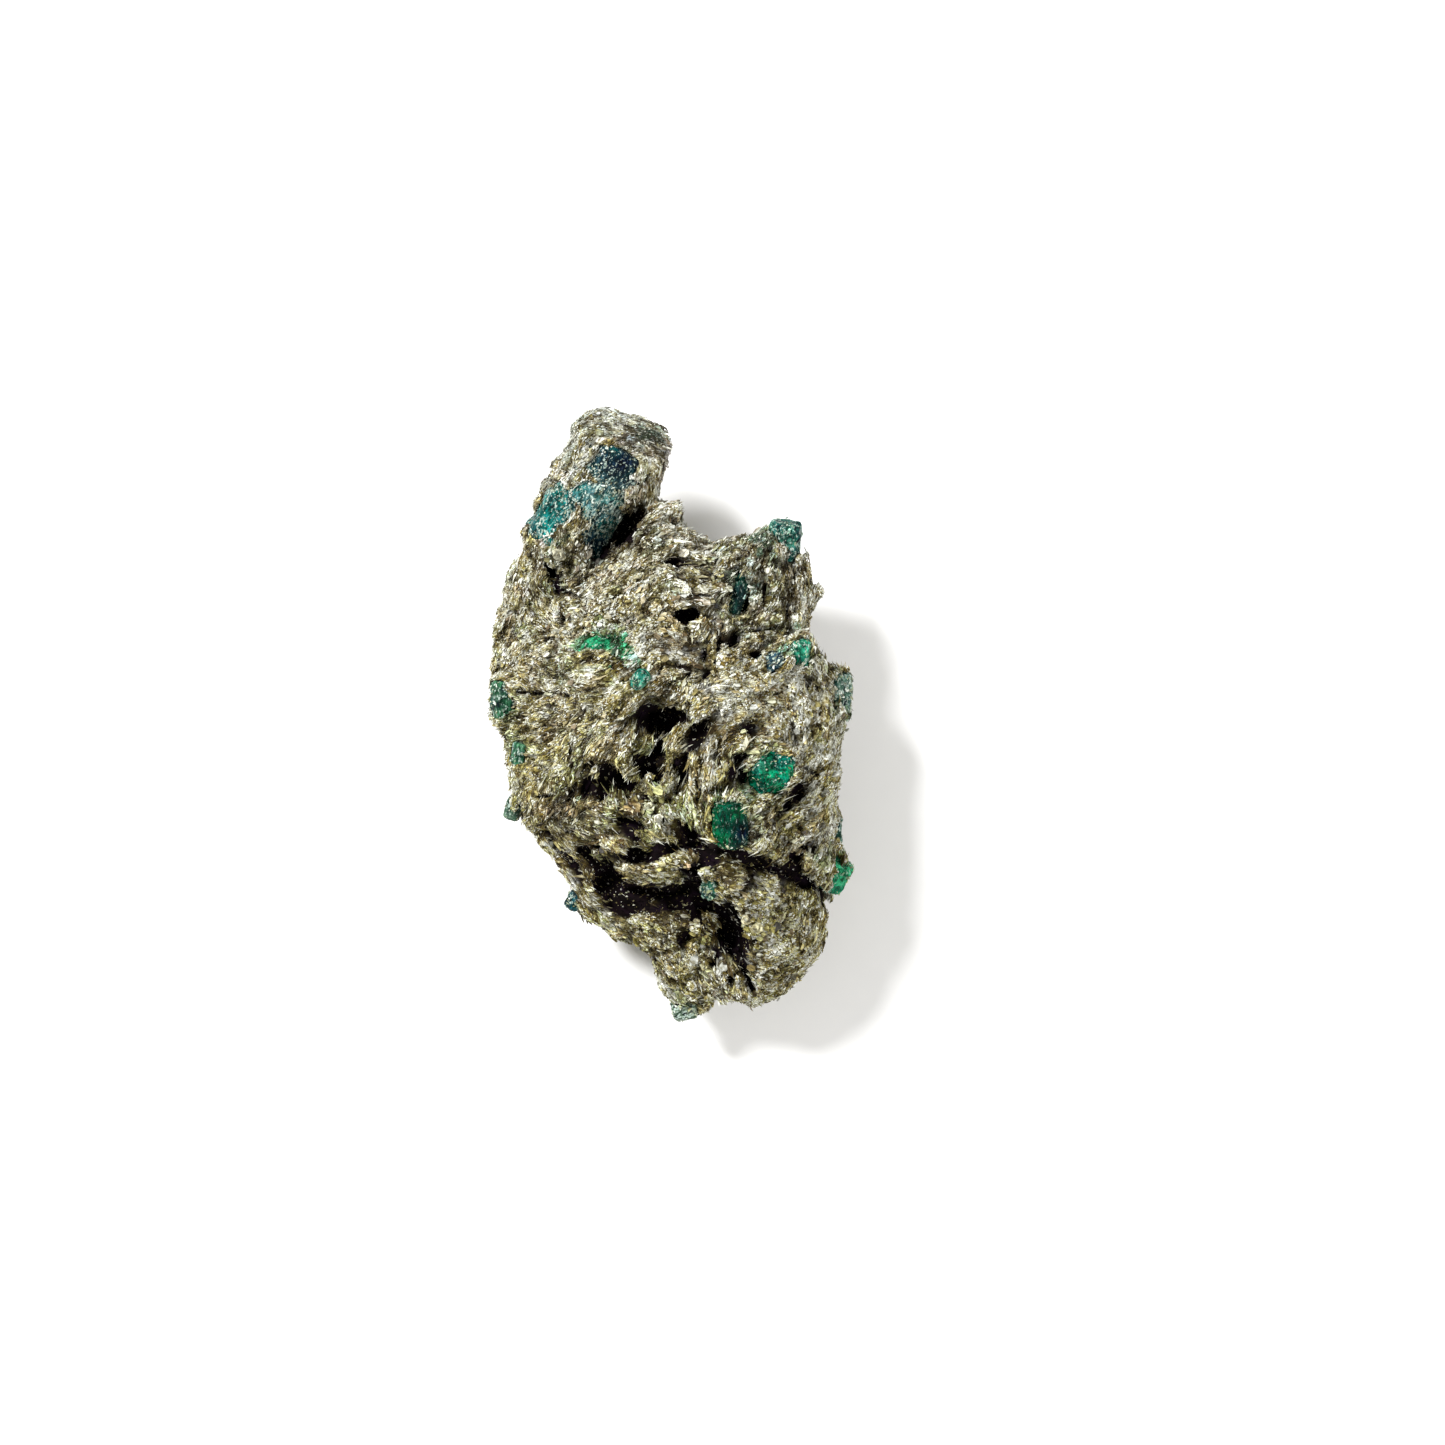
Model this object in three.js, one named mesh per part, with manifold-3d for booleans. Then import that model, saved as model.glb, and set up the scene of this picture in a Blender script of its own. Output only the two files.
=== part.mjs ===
// Emerald in matrix: a hand-sized lump of mica schist with beryl (emerald) crystals grown in it.
// The lump lies on its one flat cleavage face. Millimetres, +Z up, +Y along the lump towards its horn.
// The schist is one solid with a pocket for each crystal, and each crystal is a solid of its own.
import * as THREE from "three";
import Module from "manifold-3d";
import { mergeVertices } from "three/addons/utils/BufferGeometryUtils.js";

const CELL = 1.58; // spacing of the lattice that the schist's surface is drawn on
const POCKET_GAP = 0.3; // room between a crystal and the wall of its pocket
const CENTRE = [0.07104, -0.20038]; // middle of the finished lump in plan, moved to the origin
const GRAIN = [ // lumpiness of the broken rock: wavelength, height
  [13, 1.0],
  [6.2, 0.55],
  [3.4, 0.34],
];

// Flat broken faces: heading, rise of the way they face, distance from (0, 0, 9).
const BREAKS = [
  [188, -36, 15.01],
  [150, -44, 14.9],
  [232, -40, 20.06],
  [276, -38, 25.72],
  [322, -42, 20.6],
  [2, -34, 14.65],
  [40, -46, 12.91],
  [84, -40, 20.85],
  [118, -50, 17.52],
  [182, 46, 12.92],
  [10, 44, 14.73],
  [312, 44, 19.88],
  [218, 40, 14.47],
  [60, 50, 18.51],
  [262, 40, 21.61],
];
// Outline of the stone seen from above, lying on its flat side.
const OUTLINE = [
  [-7.0, 29.95], [-4.57, 29.76], [-3.6, 29.08], [-3.21, 29.17], [-1.94, 28.69], [-1.26, 28.2], [0.29, 26.55], [0.49, 25.96],
  [-0.1, 24.99], [-1.36, 22.17], [-1.75, 20.52], [-0.1, 20.42], [0.39, 20.81], [1.07, 20.62], [1.17, 19.45], [0.97, 18.67],
  [2.04, 17.41], [4.08, 16.43], [5.35, 17.12], [5.93, 16.92], [6.32, 17.31], [7.59, 17.41], [9.24, 18.38], [10.79, 18.67],
  [11.47, 18.57], [12.45, 17.6], [12.35, 16.63], [12.64, 15.27], [14.0, 14.68], [14.0, 12.93], [14.68, 12.74], [14.88, 12.45],
  [14.88, 11.57], [14.2, 10.79], [13.52, 9.24], [13.32, 8.07], [14.2, 7.29], [14.98, 7.2], [15.27, 6.42], [15.75, 6.52],
  [15.66, 5.54], [16.05, 5.25], [16.73, 5.25], [17.12, 4.86], [17.41, 4.38], [17.7, 3.01], [16.63, -2.72], [16.73, -8.65],
  [16.53, -10.11], [16.73, -11.18], [16.43, -12.35], [16.53, -13.13], [17.12, -14.1], [17.12, -15.46], [16.92, -16.53], [16.34, -17.31],
  [16.14, -18.28], [15.66, -18.77], [15.56, -19.84], [15.17, -20.42], [15.07, -22.17], [14.68, -22.56], [14.2, -23.82], [13.32, -25.19],
  [11.77, -26.94], [9.53, -28.4], [7.97, -28.78], [6.42, -28.3], [4.67, -28.2], [1.94, -29.95], [0.68, -29.85], [0.29, -29.37],
  [-0.1, -27.81], [-1.26, -26.55], [-1.85, -24.89], [-2.43, -24.21], [-2.43, -23.53], [-3.31, -22.46], [-3.89, -22.07], [-4.96, -22.07],
  [-5.83, -21.59], [-9.63, -18.77], [-9.92, -18.28], [-9.82, -17.31], [-10.02, -16.63], [-11.28, -14.2], [-14.78, -10.79], [-15.85, -9.34],
  [-15.66, -5.54], [-16.14, -4.57], [-16.14, -3.31], [-16.63, -2.14], [-16.63, -1.26], [-17.5, 0.78], [-17.41, 4.28], [-17.8, 7.1],
  [-17.6, 8.46], [-17.12, 10.11], [-15.66, 12.93], [-14.59, 17.5], [-13.23, 20.81], [-12.74, 21.39], [-12.35, 22.46], [-10.99, 24.12],
  [-10.99, 24.51], [-10.11, 25.48], [-9.82, 26.06], [-9.72, 27.52], [-9.04, 28.78], [-8.27, 29.47],
];
// Shape of the rock by place: x, y, height of its widest line, rise above it, drop below it, edge roundness.
const BODY = [
  [-5.35, 28.01, 12.4, 5.6, 5.8, 4.6],
  [-6.9, 23.92, 11.8, 4.1, 7.4, 5.0],
  [-11.18, 19.64, 11.2, 4.0, 7.2, 4.6],
  [-7.68, 16.43, 10.8, 7.6, 8.0, 6.0],
  [-2.53, 21.98, 11.4, 5.0, 7.2, 4.8],
  [-14.2, 11.09, 9.5, 9.5, 9.5, 7.5],
  [-15.17, 1.36, 8.8, 10.5, 10.0, 7.5],
  [-13.23, -8.36, 8.2, 10.0, 9.6, 7.0],
  [-7.88, -16.14, 7.6, 9.2, 8.6, 6.5],
  [-2.04, -21.98, 7.0, 7.6, 7.2, 6.0],
  [1.26, -28.59, 6.4, 4.6, 4.4, 4.0],
  [9.14, -25.38, 8.0, 9.0, 8.0, 7.0],
  [14.68, -18.09, 9.2, 10.0, 9.4, 7.0],
  [15.66, -8.36, 9.8, 11.2, 10.0, 7.5],
  [16.24, 1.36, 10.6, 10.6, 10.0, 7.0],
  [13.71, 9.14, 11.2, 7.0, 7.6, 5.5],
  [10.79, 15.95, 12.2, 6.0, 6.0, 5.0],
  [4.28, 13.03, 11.2, 8.6, 9.0, 6.5],
  [-0.1, 16.92, 10.8, 7.6, 8.4, 6.0],
  [-0.1, 6.22, 9.8, 12.0, 10.8, 8.5],
  [-4.96, -2.53, 9.2, 12.4, 11.0, 9.0],
  [6.71, -0.58, 9.8, 12.8, 11.0, 9.0],
  [8.65, -11.28, 9.4, 12.2, 10.8, 8.5],
  [-1.07, -11.28, 8.8, 11.6, 10.6, 8.5],
];
// Swells and hollows of the upper side: x, y, half length, half width, turn, rise.
const MOUNDS = [
  [-12.45, 8.95, 3.5, 2.53, 20, 1.2],
  [-3.01, 11.86, 4.47, 2.14, 32, 1.2],
  [-10.79, 13.52, 2.53, 3.31, 70, 0.5],
  [8.36, 2.53, 5.06, 2.53, 5, 1.8],
  [6.71, -2.04, 3.89, 2.14, 0, 1.0],
  [14.1, -1.07, 1.94, 3.31, 0, 0.9],
  [-12.25, -2.04, 5.06, 2.92, 18, 1.4],
  [-6.9, 0.19, 4.47, 1.56, 28, 1.0],
  [10.21, -21.98, 3.89, 4.28, 10, 2.0],
  [-6.61, 4.86, 3.31, 2.53, 0, 1.0],
  [3.01, -7.39, 1.46, 5.83, 0, 0.9],
  [13.71, -9.82, 2.53, 3.89, 0, 0.8],
  [-1.56, -13.42, 6.03, 1.17, -6, 1.1],
  [2.82, 12.54, 3.31, 1.36, -8, 0.8],
  [-8.36, -18.09, 1.94, 4.28, 50, 0.5],
  [-1.07, -23.92, 2.92, 1.94, -40, 0.5],
  [11.38, 12.06, 1.56, 4.28, 0, 0.8],
  [-3.01, -5.93, 4.47, 4.08, 60, -1.6],
  [-3.01, -16.63, 6.42, 2.14, -8, -2.2],
  [4.96, -21.2, 1.94, 3.89, 20, -2.0],
  [-5.35, 17.31, 2.14, 3.31, -30, -2.0],
  [6.9, 10.5, 1.56, 2.92, -15, -1.4],
  [9.63, -7.39, 3.31, 2.92, 0, -0.8],
  [6.71, -13.81, 5.83, 1.17, -25, -1.2],
];
// Weathered-out pits: x, y, half length, half width, turn, depth.
const PITS = [
  [-5.35, 17.5, 1.94, 2.43, -38, 2.8],
  [-1.46, -0.78, 2.24, 2.24, 0, 3.2],
  [-6.32, -15.95, 2.63, 1.94, -38, 3.2],
  [5.45, -21.2, 1.94, 2.82, 22, 2.8],
];
// Open cracks: half width, depth, points.
const CRACKS = [
  [1.17, 2.2, [[2.04, -12.45], [3.99, -13.03], [6.71, -13.91], [9.63, -14.88], [12.54, -16.14], [14.68, -17.31]]],
  [1.26, 2.8, [[-7.88, -13.71], [-6.52, -15.36], [-4.57, -16.92], [-2.04, -17.41], [1.85, -16.92], [4.28, -17.89], [5.93, -20.23], [6.71, -22.95]]],
];
// Beryl crystals: name, x, y, height reference, height from it, heading, rise of the axis, roll, radius, length.
const CRYSTALS = [
  ["emerald_horn", -8.07, 20.81, "rim", 1.35, 59, 3, 10, 4.25, 12.0],
  ["emerald_nub", 10.99, 17.02, "rim", 1.3, 84, 20, 8, 1.9, 3.9],
  ["emerald_arch", -6.52, 4.76, "top", -1.75, 80, 66, 0, 3.05, 4.2],
  ["emerald_bead", -2.72, 3.5, "top", -0.35, 50, 40, 20, 0.85, 2.2],
  ["emerald_left_rim", -16.53, 1.65, "rim", 0.9, 96, 4, 10, 1.45, 4.0],
  ["emerald_left_low", -14.59, -3.6, "top", -0.55, 80, 10, 0, 0.95, 2.4],
  ["emerald_round", 9.43, -5.35, "top", -1.55, 60, 64, 14, 2.25, 5.0],
  ["emerald_block", 5.64, -10.21, "top", -1.05, 92, 10, 30, 2.05, 4.3],
  ["emerald_right_rim", 16.14, -15.46, "rim", 1.2, 60, 30, 0, 1.55, 3.4],
  ["emerald_notch", 12.45, 6.03, "top", -0.35, 84, 20, 10, 1.05, 3.0],
  ["emerald_blue", 9.72, 5.15, "top", -0.65, 20, 14, 0, 1.15, 2.8],
  ["emerald_right_edge", 16.73, 2.43, "rim", 0.9, 86, 6, 20, 1.5, 4.2],
  ["emerald_side", 15.85, -10.99, "rim", 1.6, 88, 8, 15, 1.0, 2.8],
  ["emerald_foot", 1.26, -28.69, "rim", 0.3, 12, 8, 0, 1.3, 2.6],
  ["emerald_chip", -9.43, -17.89, "rim", 0.2, 60, 8, 0, 0.85, 2.0],
  ["emerald_dark", 6.52, 11.86, "top", -0.9, 74, 6, 20, 0.95, 4.4],
  ["emerald_cleft", 3.89, -16.14, "top", -1.6, 70, 30, 0, 1.0, 2.4],
  ["emerald_left_toe", -15.27, -8.95, "rim", 0.6, 70, 8, 0, 1.0, 2.6],
];

const wasm = await Module();
wasm.setup();
const rad = THREE.MathUtils.degToRad;

// ---- the schist's shape, as a function that is positive inside it, in about millimetres ----

// Repeatable random number for a lattice point.
function lattice(ix, iy, iz, seed) {
  let h =
    Math.imul(ix, 0x8da6b343) ^
    Math.imul(iy, 0xd8163841) ^
    Math.imul(iz, 0xcb1ab31f) ^
    Math.imul(seed, 0x9e3779b1);
  h ^= h >>> 15;
  h = Math.imul(h, 0x85ebca6b);
  h ^= h >>> 13;
  h = Math.imul(h, 0xc2b2ae35);
  h ^= h >>> 16;
  return (h >>> 0) / 4294967295;
}

// Smooth noise from -1 to 1.
function noise(x, y, z, seed) {
  const ix = Math.floor(x), iy = Math.floor(y), iz = Math.floor(z);
  const ease = (t) => t * t * t * (t * (t * 6 - 15) + 10);
  const u = ease(x - ix), v = ease(y - iy), w = ease(z - iz);
  let sum = 0;
  for (let k = 0; k < 8; k++) {
    const a = k & 1, b = (k >> 1) & 1, c = k >> 2;
    sum +=
      (a ? u : 1 - u) * (b ? v : 1 - v) * (c ? w : 1 - w) *
      lattice(ix + a, iy + b, iz + c, seed);
  }
  return 2 * sum - 1;
}

// Distance to the outline in plan, positive inside.
function insideBy(x, y) {
  let least = 1e9, inside = false;
  for (let i = 0, j = OUTLINE.length - 1; i < OUTLINE.length; j = i++) {
    const [ax, ay] = OUTLINE[j], [bx, by] = OUTLINE[i];
    const dx = bx - ax, dy = by - ay;
    const t = Math.min(1, Math.max(0, ((x - ax) * dx + (y - ay) * dy) / (dx * dx + dy * dy)));
    least = Math.min(least, Math.hypot(x - ax - t * dx, y - ay - t * dy));
    if (ay > y !== by > y && x < ax + ((y - ay) * dx) / dy) inside = !inside;
  }
  return inside ? least : -least;
}

// Rim height, rise, drop and edge roundness at a place, from the nearest entries of BODY.
function bodyAt(x, y) {
  const sum = [0, 0, 0, 0];
  let weight = 0;
  for (const row of BODY) {
    const w = 1 / ((x - row[0]) ** 2 + (y - row[1]) ** 2 + 4) ** 2;
    weight += w;
    for (let k = 0; k < 4; k++) sum[k] += w * row[2 + k];
  }
  return sum.map((s) => s / weight);
}

// Squared elliptical distance from the middle of a mound or pit, 1 on its edge.
function ellipse(x, y, [cx, cy, rx, ry, turn]) {
  const c = Math.cos(rad(turn)), s = Math.sin(rad(turn));
  const u = ((x - cx) * c + (y - cy) * s) / rx;
  const v = ((y - cy) * c - (x - cx) * s) / ry;
  return u * u + v * v;
}

function toPolyline(x, y, points) {
  let least = 1e9;
  for (let i = 1; i < points.length; i++) {
    const [ax, ay] = points[i - 1], [bx, by] = points[i];
    const dx = bx - ax, dy = by - ay;
    const t = Math.min(1, Math.max(0, ((x - ax) * dx + (y - ay) * dy) / (dx * dx + dy * dy)));
    least = Math.min(least, Math.hypot(x - ax - t * dx, y - ay - t * dy));
  }
  return least;
}

// What doesn't change with height at a place in plan.
const columns = new Map();
function column(x, y) {
  const key = Math.round(x * 1e4) + "," + Math.round(y * 1e4);
  if (columns.has(key)) return columns.get(key);
  const d = insideBy(x, y) + 0.55; // the rounding and the lattice take this much off the edge
  const [rim, rise, drop, round] = bodyAt(x, y);
  let mound = 0;
  for (const m of MOUNDS) mound += m[5] * Math.exp(-ellipse(x, y, m));
  const share = Math.min(1, Math.max(0, d / round));
  const top = rim + (rise + mound) * Math.sqrt(1 - (1 - share) ** 3);
  const cuts = [];
  for (const p of PITS) {
    const e = Math.sqrt(ellipse(x, y, p));
    if (e < 2.2) cuts.push([e, p[5]]);
  }
  for (const [half, depth, points] of CRACKS) {
    const e = toPolyline(x, y, points) / half;
    if (e < 2.2) cuts.push([e, depth]);
  }
  const made = { d, rim, rise: rise + mound, drop, round, top, cuts };
  columns.set(key, made);
  return made;
}

function rock(x, y, z, whole = false) {
  const c = column(x, y);
  const up = z - c.rim;
  const blend = THREE.MathUtils.smoothstep(up, -2.5, 2.5);
  const reach = c.round * (1.45 - 0.45 * blend); // the underside rounds off over a longer way
  const high = c.drop + (c.rise - c.drop) * blend;
  const t = 1 - c.d / reach;
  const u = t > 0 ? t ** 1.5 : 0;
  const w = up / high;
  let f = (1 - Math.sqrt(u * u + w * w)) * Math.min(high, reach * 0.8);
  for (const [heading, face, away] of BREAKS) {
    const side = Math.cos(rad(face));
    const left = away - x * Math.cos(rad(heading)) * side - y * Math.sin(rad(heading)) * side - (z - 9) * Math.sin(rad(face));
    const near = Math.max(0, 1 - Math.abs(f - left) / 1.6);
    f = Math.min(f, left) - near * near * 0.4;
  }
  for (let k = 0; k < GRAIN.length; k++)
    f += GRAIN[k][1] * noise(x / GRAIN[k][0], y / GRAIN[k][0], z / GRAIN[k][0], 11 + k) *
      (0.35 + 0.65 * Math.min(1, Math.max(0, c.d / 2.5)));
  if (whole) return f;
  for (const [e, depth] of c.cuts) {
    const mouth = THREE.MathUtils.smoothstep(z, c.top - 1.7 * depth, c.top - 0.7 * depth);
    f -= depth * Math.exp(-e * e) * mouth;
  }
  return f;
}

// ---- a closed mesh of that shape: one vertex in each lattice cell that the surface passes through ----

function surfaceNet(field, low, high, cell) {
  const n = [0, 1, 2].map((k) => Math.ceil((high[k] - low[k]) / cell) + 1);
  const at = (i, j, k) => i + n[0] * (j + n[1] * k);
  const value = new Float64Array(n[0] * n[1] * n[2]);
  for (let k = 0; k < n[2]; k++)
    for (let j = 0; j < n[1]; j++)
      for (let i = 0; i < n[0]; i++)
        value[at(i, j, k)] = field(low[0] + i * cell, low[1] + j * cell, low[2] + k * cell);
  // A face of the lattice whose corners alternate would pinch the mesh, so its shallower outside corner is filled.
  for (let again = true, rounds = 0; again && rounds < 40; rounds++) {
    again = false;
    const settle = (a, b, c, d) => {
      const s = [a, b, c, d].map((q) => value[q] > 0);
      if (s[0] === s[2] && s[1] === s[3] && s[0] !== s[1]) {
        const outside = s[0] ? [b, d] : [a, c];
        const pick = value[outside[0]] > value[outside[1]] ? outside[0] : outside[1];
        value[pick] = 0.05;
        again = true;
      }
    };
    for (let k = 0; k < n[2] - 1; k++)
      for (let j = 0; j < n[1] - 1; j++)
        for (let i = 0; i < n[0] - 1; i++) {
          settle(at(i, j, k), at(i + 1, j, k), at(i + 1, j + 1, k), at(i, j + 1, k));
          settle(at(i, j, k), at(i + 1, j, k), at(i + 1, j, k + 1), at(i, j, k + 1));
          settle(at(i, j, k), at(i, j + 1, k), at(i, j + 1, k + 1), at(i, j, k + 1));
          // two opposite corners of a cell alone on one side would pinch it too
          const c = [at(i, j, k), at(i + 1, j, k), at(i, j + 1, k), at(i + 1, j + 1, k),
            at(i, j, k + 1), at(i + 1, j, k + 1), at(i, j + 1, k + 1), at(i + 1, j + 1, k + 1)];
          const inside = c.map((q) => value[q] > 0);
          const count = inside.filter(Boolean).length;
          for (let q = 0; q < 4; q++) {
            const a = q, b = 7 - q;
            if (count === 2 && inside[a] && inside[b]) { value[c[a]] = -0.05; again = true; }
            if (count === 6 && !inside[a] && !inside[b]) { value[c[a]] = 0.05; again = true; }
          }
        }
  }
  const vertices = [], faces = [];
  const cellVertex = new Int32Array(value.length).fill(-1);
  for (let k = 0; k < n[2] - 1; k++)
    for (let j = 0; j < n[1] - 1; j++)
      for (let i = 0; i < n[0] - 1; i++) {
        let count = 0;
        const sum = [0, 0, 0];
        for (let q = 0; q < 8; q++)
          for (let axis = 0; axis < 3; axis++) {
            if ((q >> axis) & 1) continue;
            const r = q | (1 << axis);
            const va = value[at(i + (q & 1), j + ((q >> 1) & 1), k + (q >> 2))];
            const vb = value[at(i + (r & 1), j + ((r >> 1) & 1), k + (r >> 2))];
            if (va > 0 === vb > 0) continue;
            const t = Math.min(0.92, Math.max(0.08, va / (va - vb)));
            const p = [q & 1, (q >> 1) & 1, q >> 2];
            p[axis] += t;
            for (let a = 0; a < 3; a++) sum[a] += p[a];
            count++;
          }
        if (!count) continue;
        cellVertex[at(i, j, k)] = vertices.length / 3;
        const base = [i, j, k];
        for (let a = 0; a < 3; a++) vertices.push(low[a] + (base[a] + sum[a] / count) * cell);
      }
  const stride = [1, n[0], n[0] * n[1]];
  for (let k = 1; k < n[2] - 1; k++)
    for (let j = 1; j < n[1] - 1; j++)
      for (let i = 1; i < n[0] - 1; i++)
        for (let axis = 0; axis < 3; axis++) {
          const a = at(i, j, k), b = a + stride[axis];
          if (value[a] > 0 === value[b] > 0) continue;
          const u = stride[(axis + 1) % 3], v = stride[(axis + 2) % 3];
          const quad = [a, a - u, a - u - v, a - v].map((q) => cellVertex[q]);
          if (value[a] > 0) quad.reverse();
          const [p, q, r, s] = quad;
          const gap = (m, o) => Math.hypot(...[0, 1, 2].map((c) => vertices[3 * m + c] - vertices[3 * o + c]));
          if (gap(p, r) < gap(q, s)) faces.push(p, r, q, p, s, r);
          else faces.push(q, s, r, q, p, s);
        }
  return new THREE.BufferGeometry()
    .setAttribute("position", new THREE.Float32BufferAttribute(vertices, 3))
    .setIndex(faces);
}

// ---- joins and cuts ----

function toSolid(geometry) {
  const bare = geometry.clone();
  bare.deleteAttribute("normal");
  bare.deleteAttribute("uv");
  const merged = mergeVertices(bare, 1e-4);
  return new wasm.Manifold(
    new wasm.Mesh({
      numProp: 3,
      vertProperties: new Float32Array(merged.attributes.position.array),
      triVerts: new Uint32Array(merged.index.array),
    }),
  );
}

function toGeometry(solid) {
  const m = solid.getMesh();
  const position = new Float32Array(m.numVert * 3);
  for (let i = 0; i < m.numVert; i++)
    position.set(m.vertProperties.subarray(i * m.numProp, i * m.numProp + 3), i * 3);
  const g = new THREE.BufferGeometry()
    .setAttribute("position", new THREE.BufferAttribute(position, 3))
    .setIndex(new THREE.BufferAttribute(m.triVerts, 1));
  g.computeVertexNormals();
  return g;
}

// ---- beryl crystals: six-sided prisms with worn corners and edges ----

function prism(radius, length, grow = 0) {
  const shape = new THREE.Shape();
  for (let i = 0; i < 12; i++) {
    const corner = i >> 1, side = i % 2 ? 7 : -7; // each corner is worn to a small flat
    const a = rad(corner * 60 + side);
    const r = (radius + grow) * 0.985;
    if (i) shape.lineTo(r * Math.cos(a), r * Math.sin(a));
    else shape.moveTo(r * Math.cos(a), r * Math.sin(a));
  }
  shape.closePath();
  const bevel = Math.min(0.24 * radius, 0.16 * length);
  const g = new THREE.ExtrudeGeometry(shape, {
    depth: length + 2 * grow - 2 * bevel,
    bevelEnabled: true,
    bevelThickness: bevel,
    bevelSize: bevel,
    bevelOffset: -bevel,
    bevelSegments: 1,
    steps: 1,
  });
  g.translate(0, 0, -(length + 2 * grow) / 2 + bevel);
  return g;
}

// Puts a prism, which stands on +Z, where a crystal grew.
function placement([, x, y, from, offset, heading, rise, roll]) {
  let z = column(x, y).rim;
  if (from === "top") for (z = 30; rock(x, y, z, true) < 0; ) z -= 0.05;
  z += offset;
  const axis = new THREE.Vector3(
    Math.cos(rad(heading)) * Math.cos(rad(rise)),
    Math.sin(rad(heading)) * Math.cos(rad(rise)),
    Math.sin(rad(rise)),
  );
  const turn = new THREE.Quaternion()
    .setFromUnitVectors(new THREE.Vector3(0, 0, 1), axis)
    .multiply(new THREE.Quaternion().setFromAxisAngle(new THREE.Vector3(0, 0, 1), rad(roll)));
  return { position: new THREE.Vector3(x, y, z), turn };
}

// ---- assembly ----

const group = new THREE.Group();
group.position.set(-CENTRE[0], -CENTRE[1], 0);

const schist = new THREE.MeshStandardMaterial({ color: 0x8c8a72, roughness: 0.55, metalness: 0 });
const beryl = new THREE.MeshStandardMaterial({ color: 0x0f6b4c, roughness: 0.22, metalness: 0 });

let lump = toSolid(surfaceNet(rock, [-22, -34, -6], [22, 34, 28], CELL));
const pieces = lump.decompose().sort((a, b) => b.volume() - a.volume());
lump = pieces[0]; // crumbs cut off by a pit are dropped
const above = new THREE.BoxGeometry(120, 120, 60).translate(0, 0, 30);
lump = lump.intersect(toSolid(above)); // the flat cleavage face that it lies on

for (const crystal of CRYSTALS) {
  const [name, , , , , , , , radius, length] = crystal;
  const { position, turn } = placement(crystal);
  const place = new THREE.Matrix4().compose(position, turn, new THREE.Vector3(1, 1, 1));
  lump = lump.subtract(toSolid(prism(radius, length, POCKET_GAP).applyMatrix4(place)));
  const mesh = new THREE.Mesh(prism(radius, length), beryl);
  mesh.name = name;
  mesh.position.copy(position);
  mesh.quaternion.copy(turn);
  group.add(mesh);
}
lump = lump.decompose().sort((a, b) => b.volume() - a.volume())[0];

const matrix = new THREE.Mesh(toGeometry(lump), schist);
matrix.name = "mica_schist_matrix";
group.add(matrix);

export default group;
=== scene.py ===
"""Emerald in matrix: a lump of silvery mica schist with emerald (beryl) crystals grown in it.
Lengths in the tables are millimetres; everything is scaled to metres as its mesh is made."""
import math

import bpy
import numpy as np
from mathutils import Matrix, Quaternion, Vector


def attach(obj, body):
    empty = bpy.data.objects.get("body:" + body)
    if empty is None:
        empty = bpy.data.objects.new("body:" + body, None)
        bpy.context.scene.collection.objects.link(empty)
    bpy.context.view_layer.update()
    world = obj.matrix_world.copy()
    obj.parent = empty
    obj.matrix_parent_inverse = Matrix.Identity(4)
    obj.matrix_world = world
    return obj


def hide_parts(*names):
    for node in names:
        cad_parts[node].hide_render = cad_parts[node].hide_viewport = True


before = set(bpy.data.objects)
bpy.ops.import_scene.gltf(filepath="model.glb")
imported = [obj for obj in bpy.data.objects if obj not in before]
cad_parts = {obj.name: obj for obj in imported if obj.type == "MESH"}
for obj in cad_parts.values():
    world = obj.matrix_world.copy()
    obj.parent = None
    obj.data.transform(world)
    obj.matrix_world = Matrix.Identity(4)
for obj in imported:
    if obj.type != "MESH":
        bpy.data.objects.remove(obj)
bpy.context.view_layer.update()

CENTRE = np.array([0.07104, -0.20038, 0.0])  # taken off every place in the tables, as the solid model does
CELL = 0.342  # lattice of the rock's surface
GRAIN = [[13, 1.0], [6.2, 0.55], [3.4, 0.34]]  # lumpiness: wavelength, height

# Flat broken faces: heading, rise of the way they face, distance from (0, 0, 9).
BREAKS = [
  [188, -36, 15.01],
  [150, -44, 14.9],
  [232, -40, 20.06],
  [276, -38, 25.72],
  [322, -42, 20.6],
  [2, -34, 14.65],
  [40, -46, 12.91],
  [84, -40, 20.85],
  [118, -50, 17.52],
  [182, 46, 12.92],
  [10, 44, 14.73],
  [312, 44, 19.88],
  [218, 40, 14.47],
  [60, 50, 18.51],
  [262, 40, 21.61],
]
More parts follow.
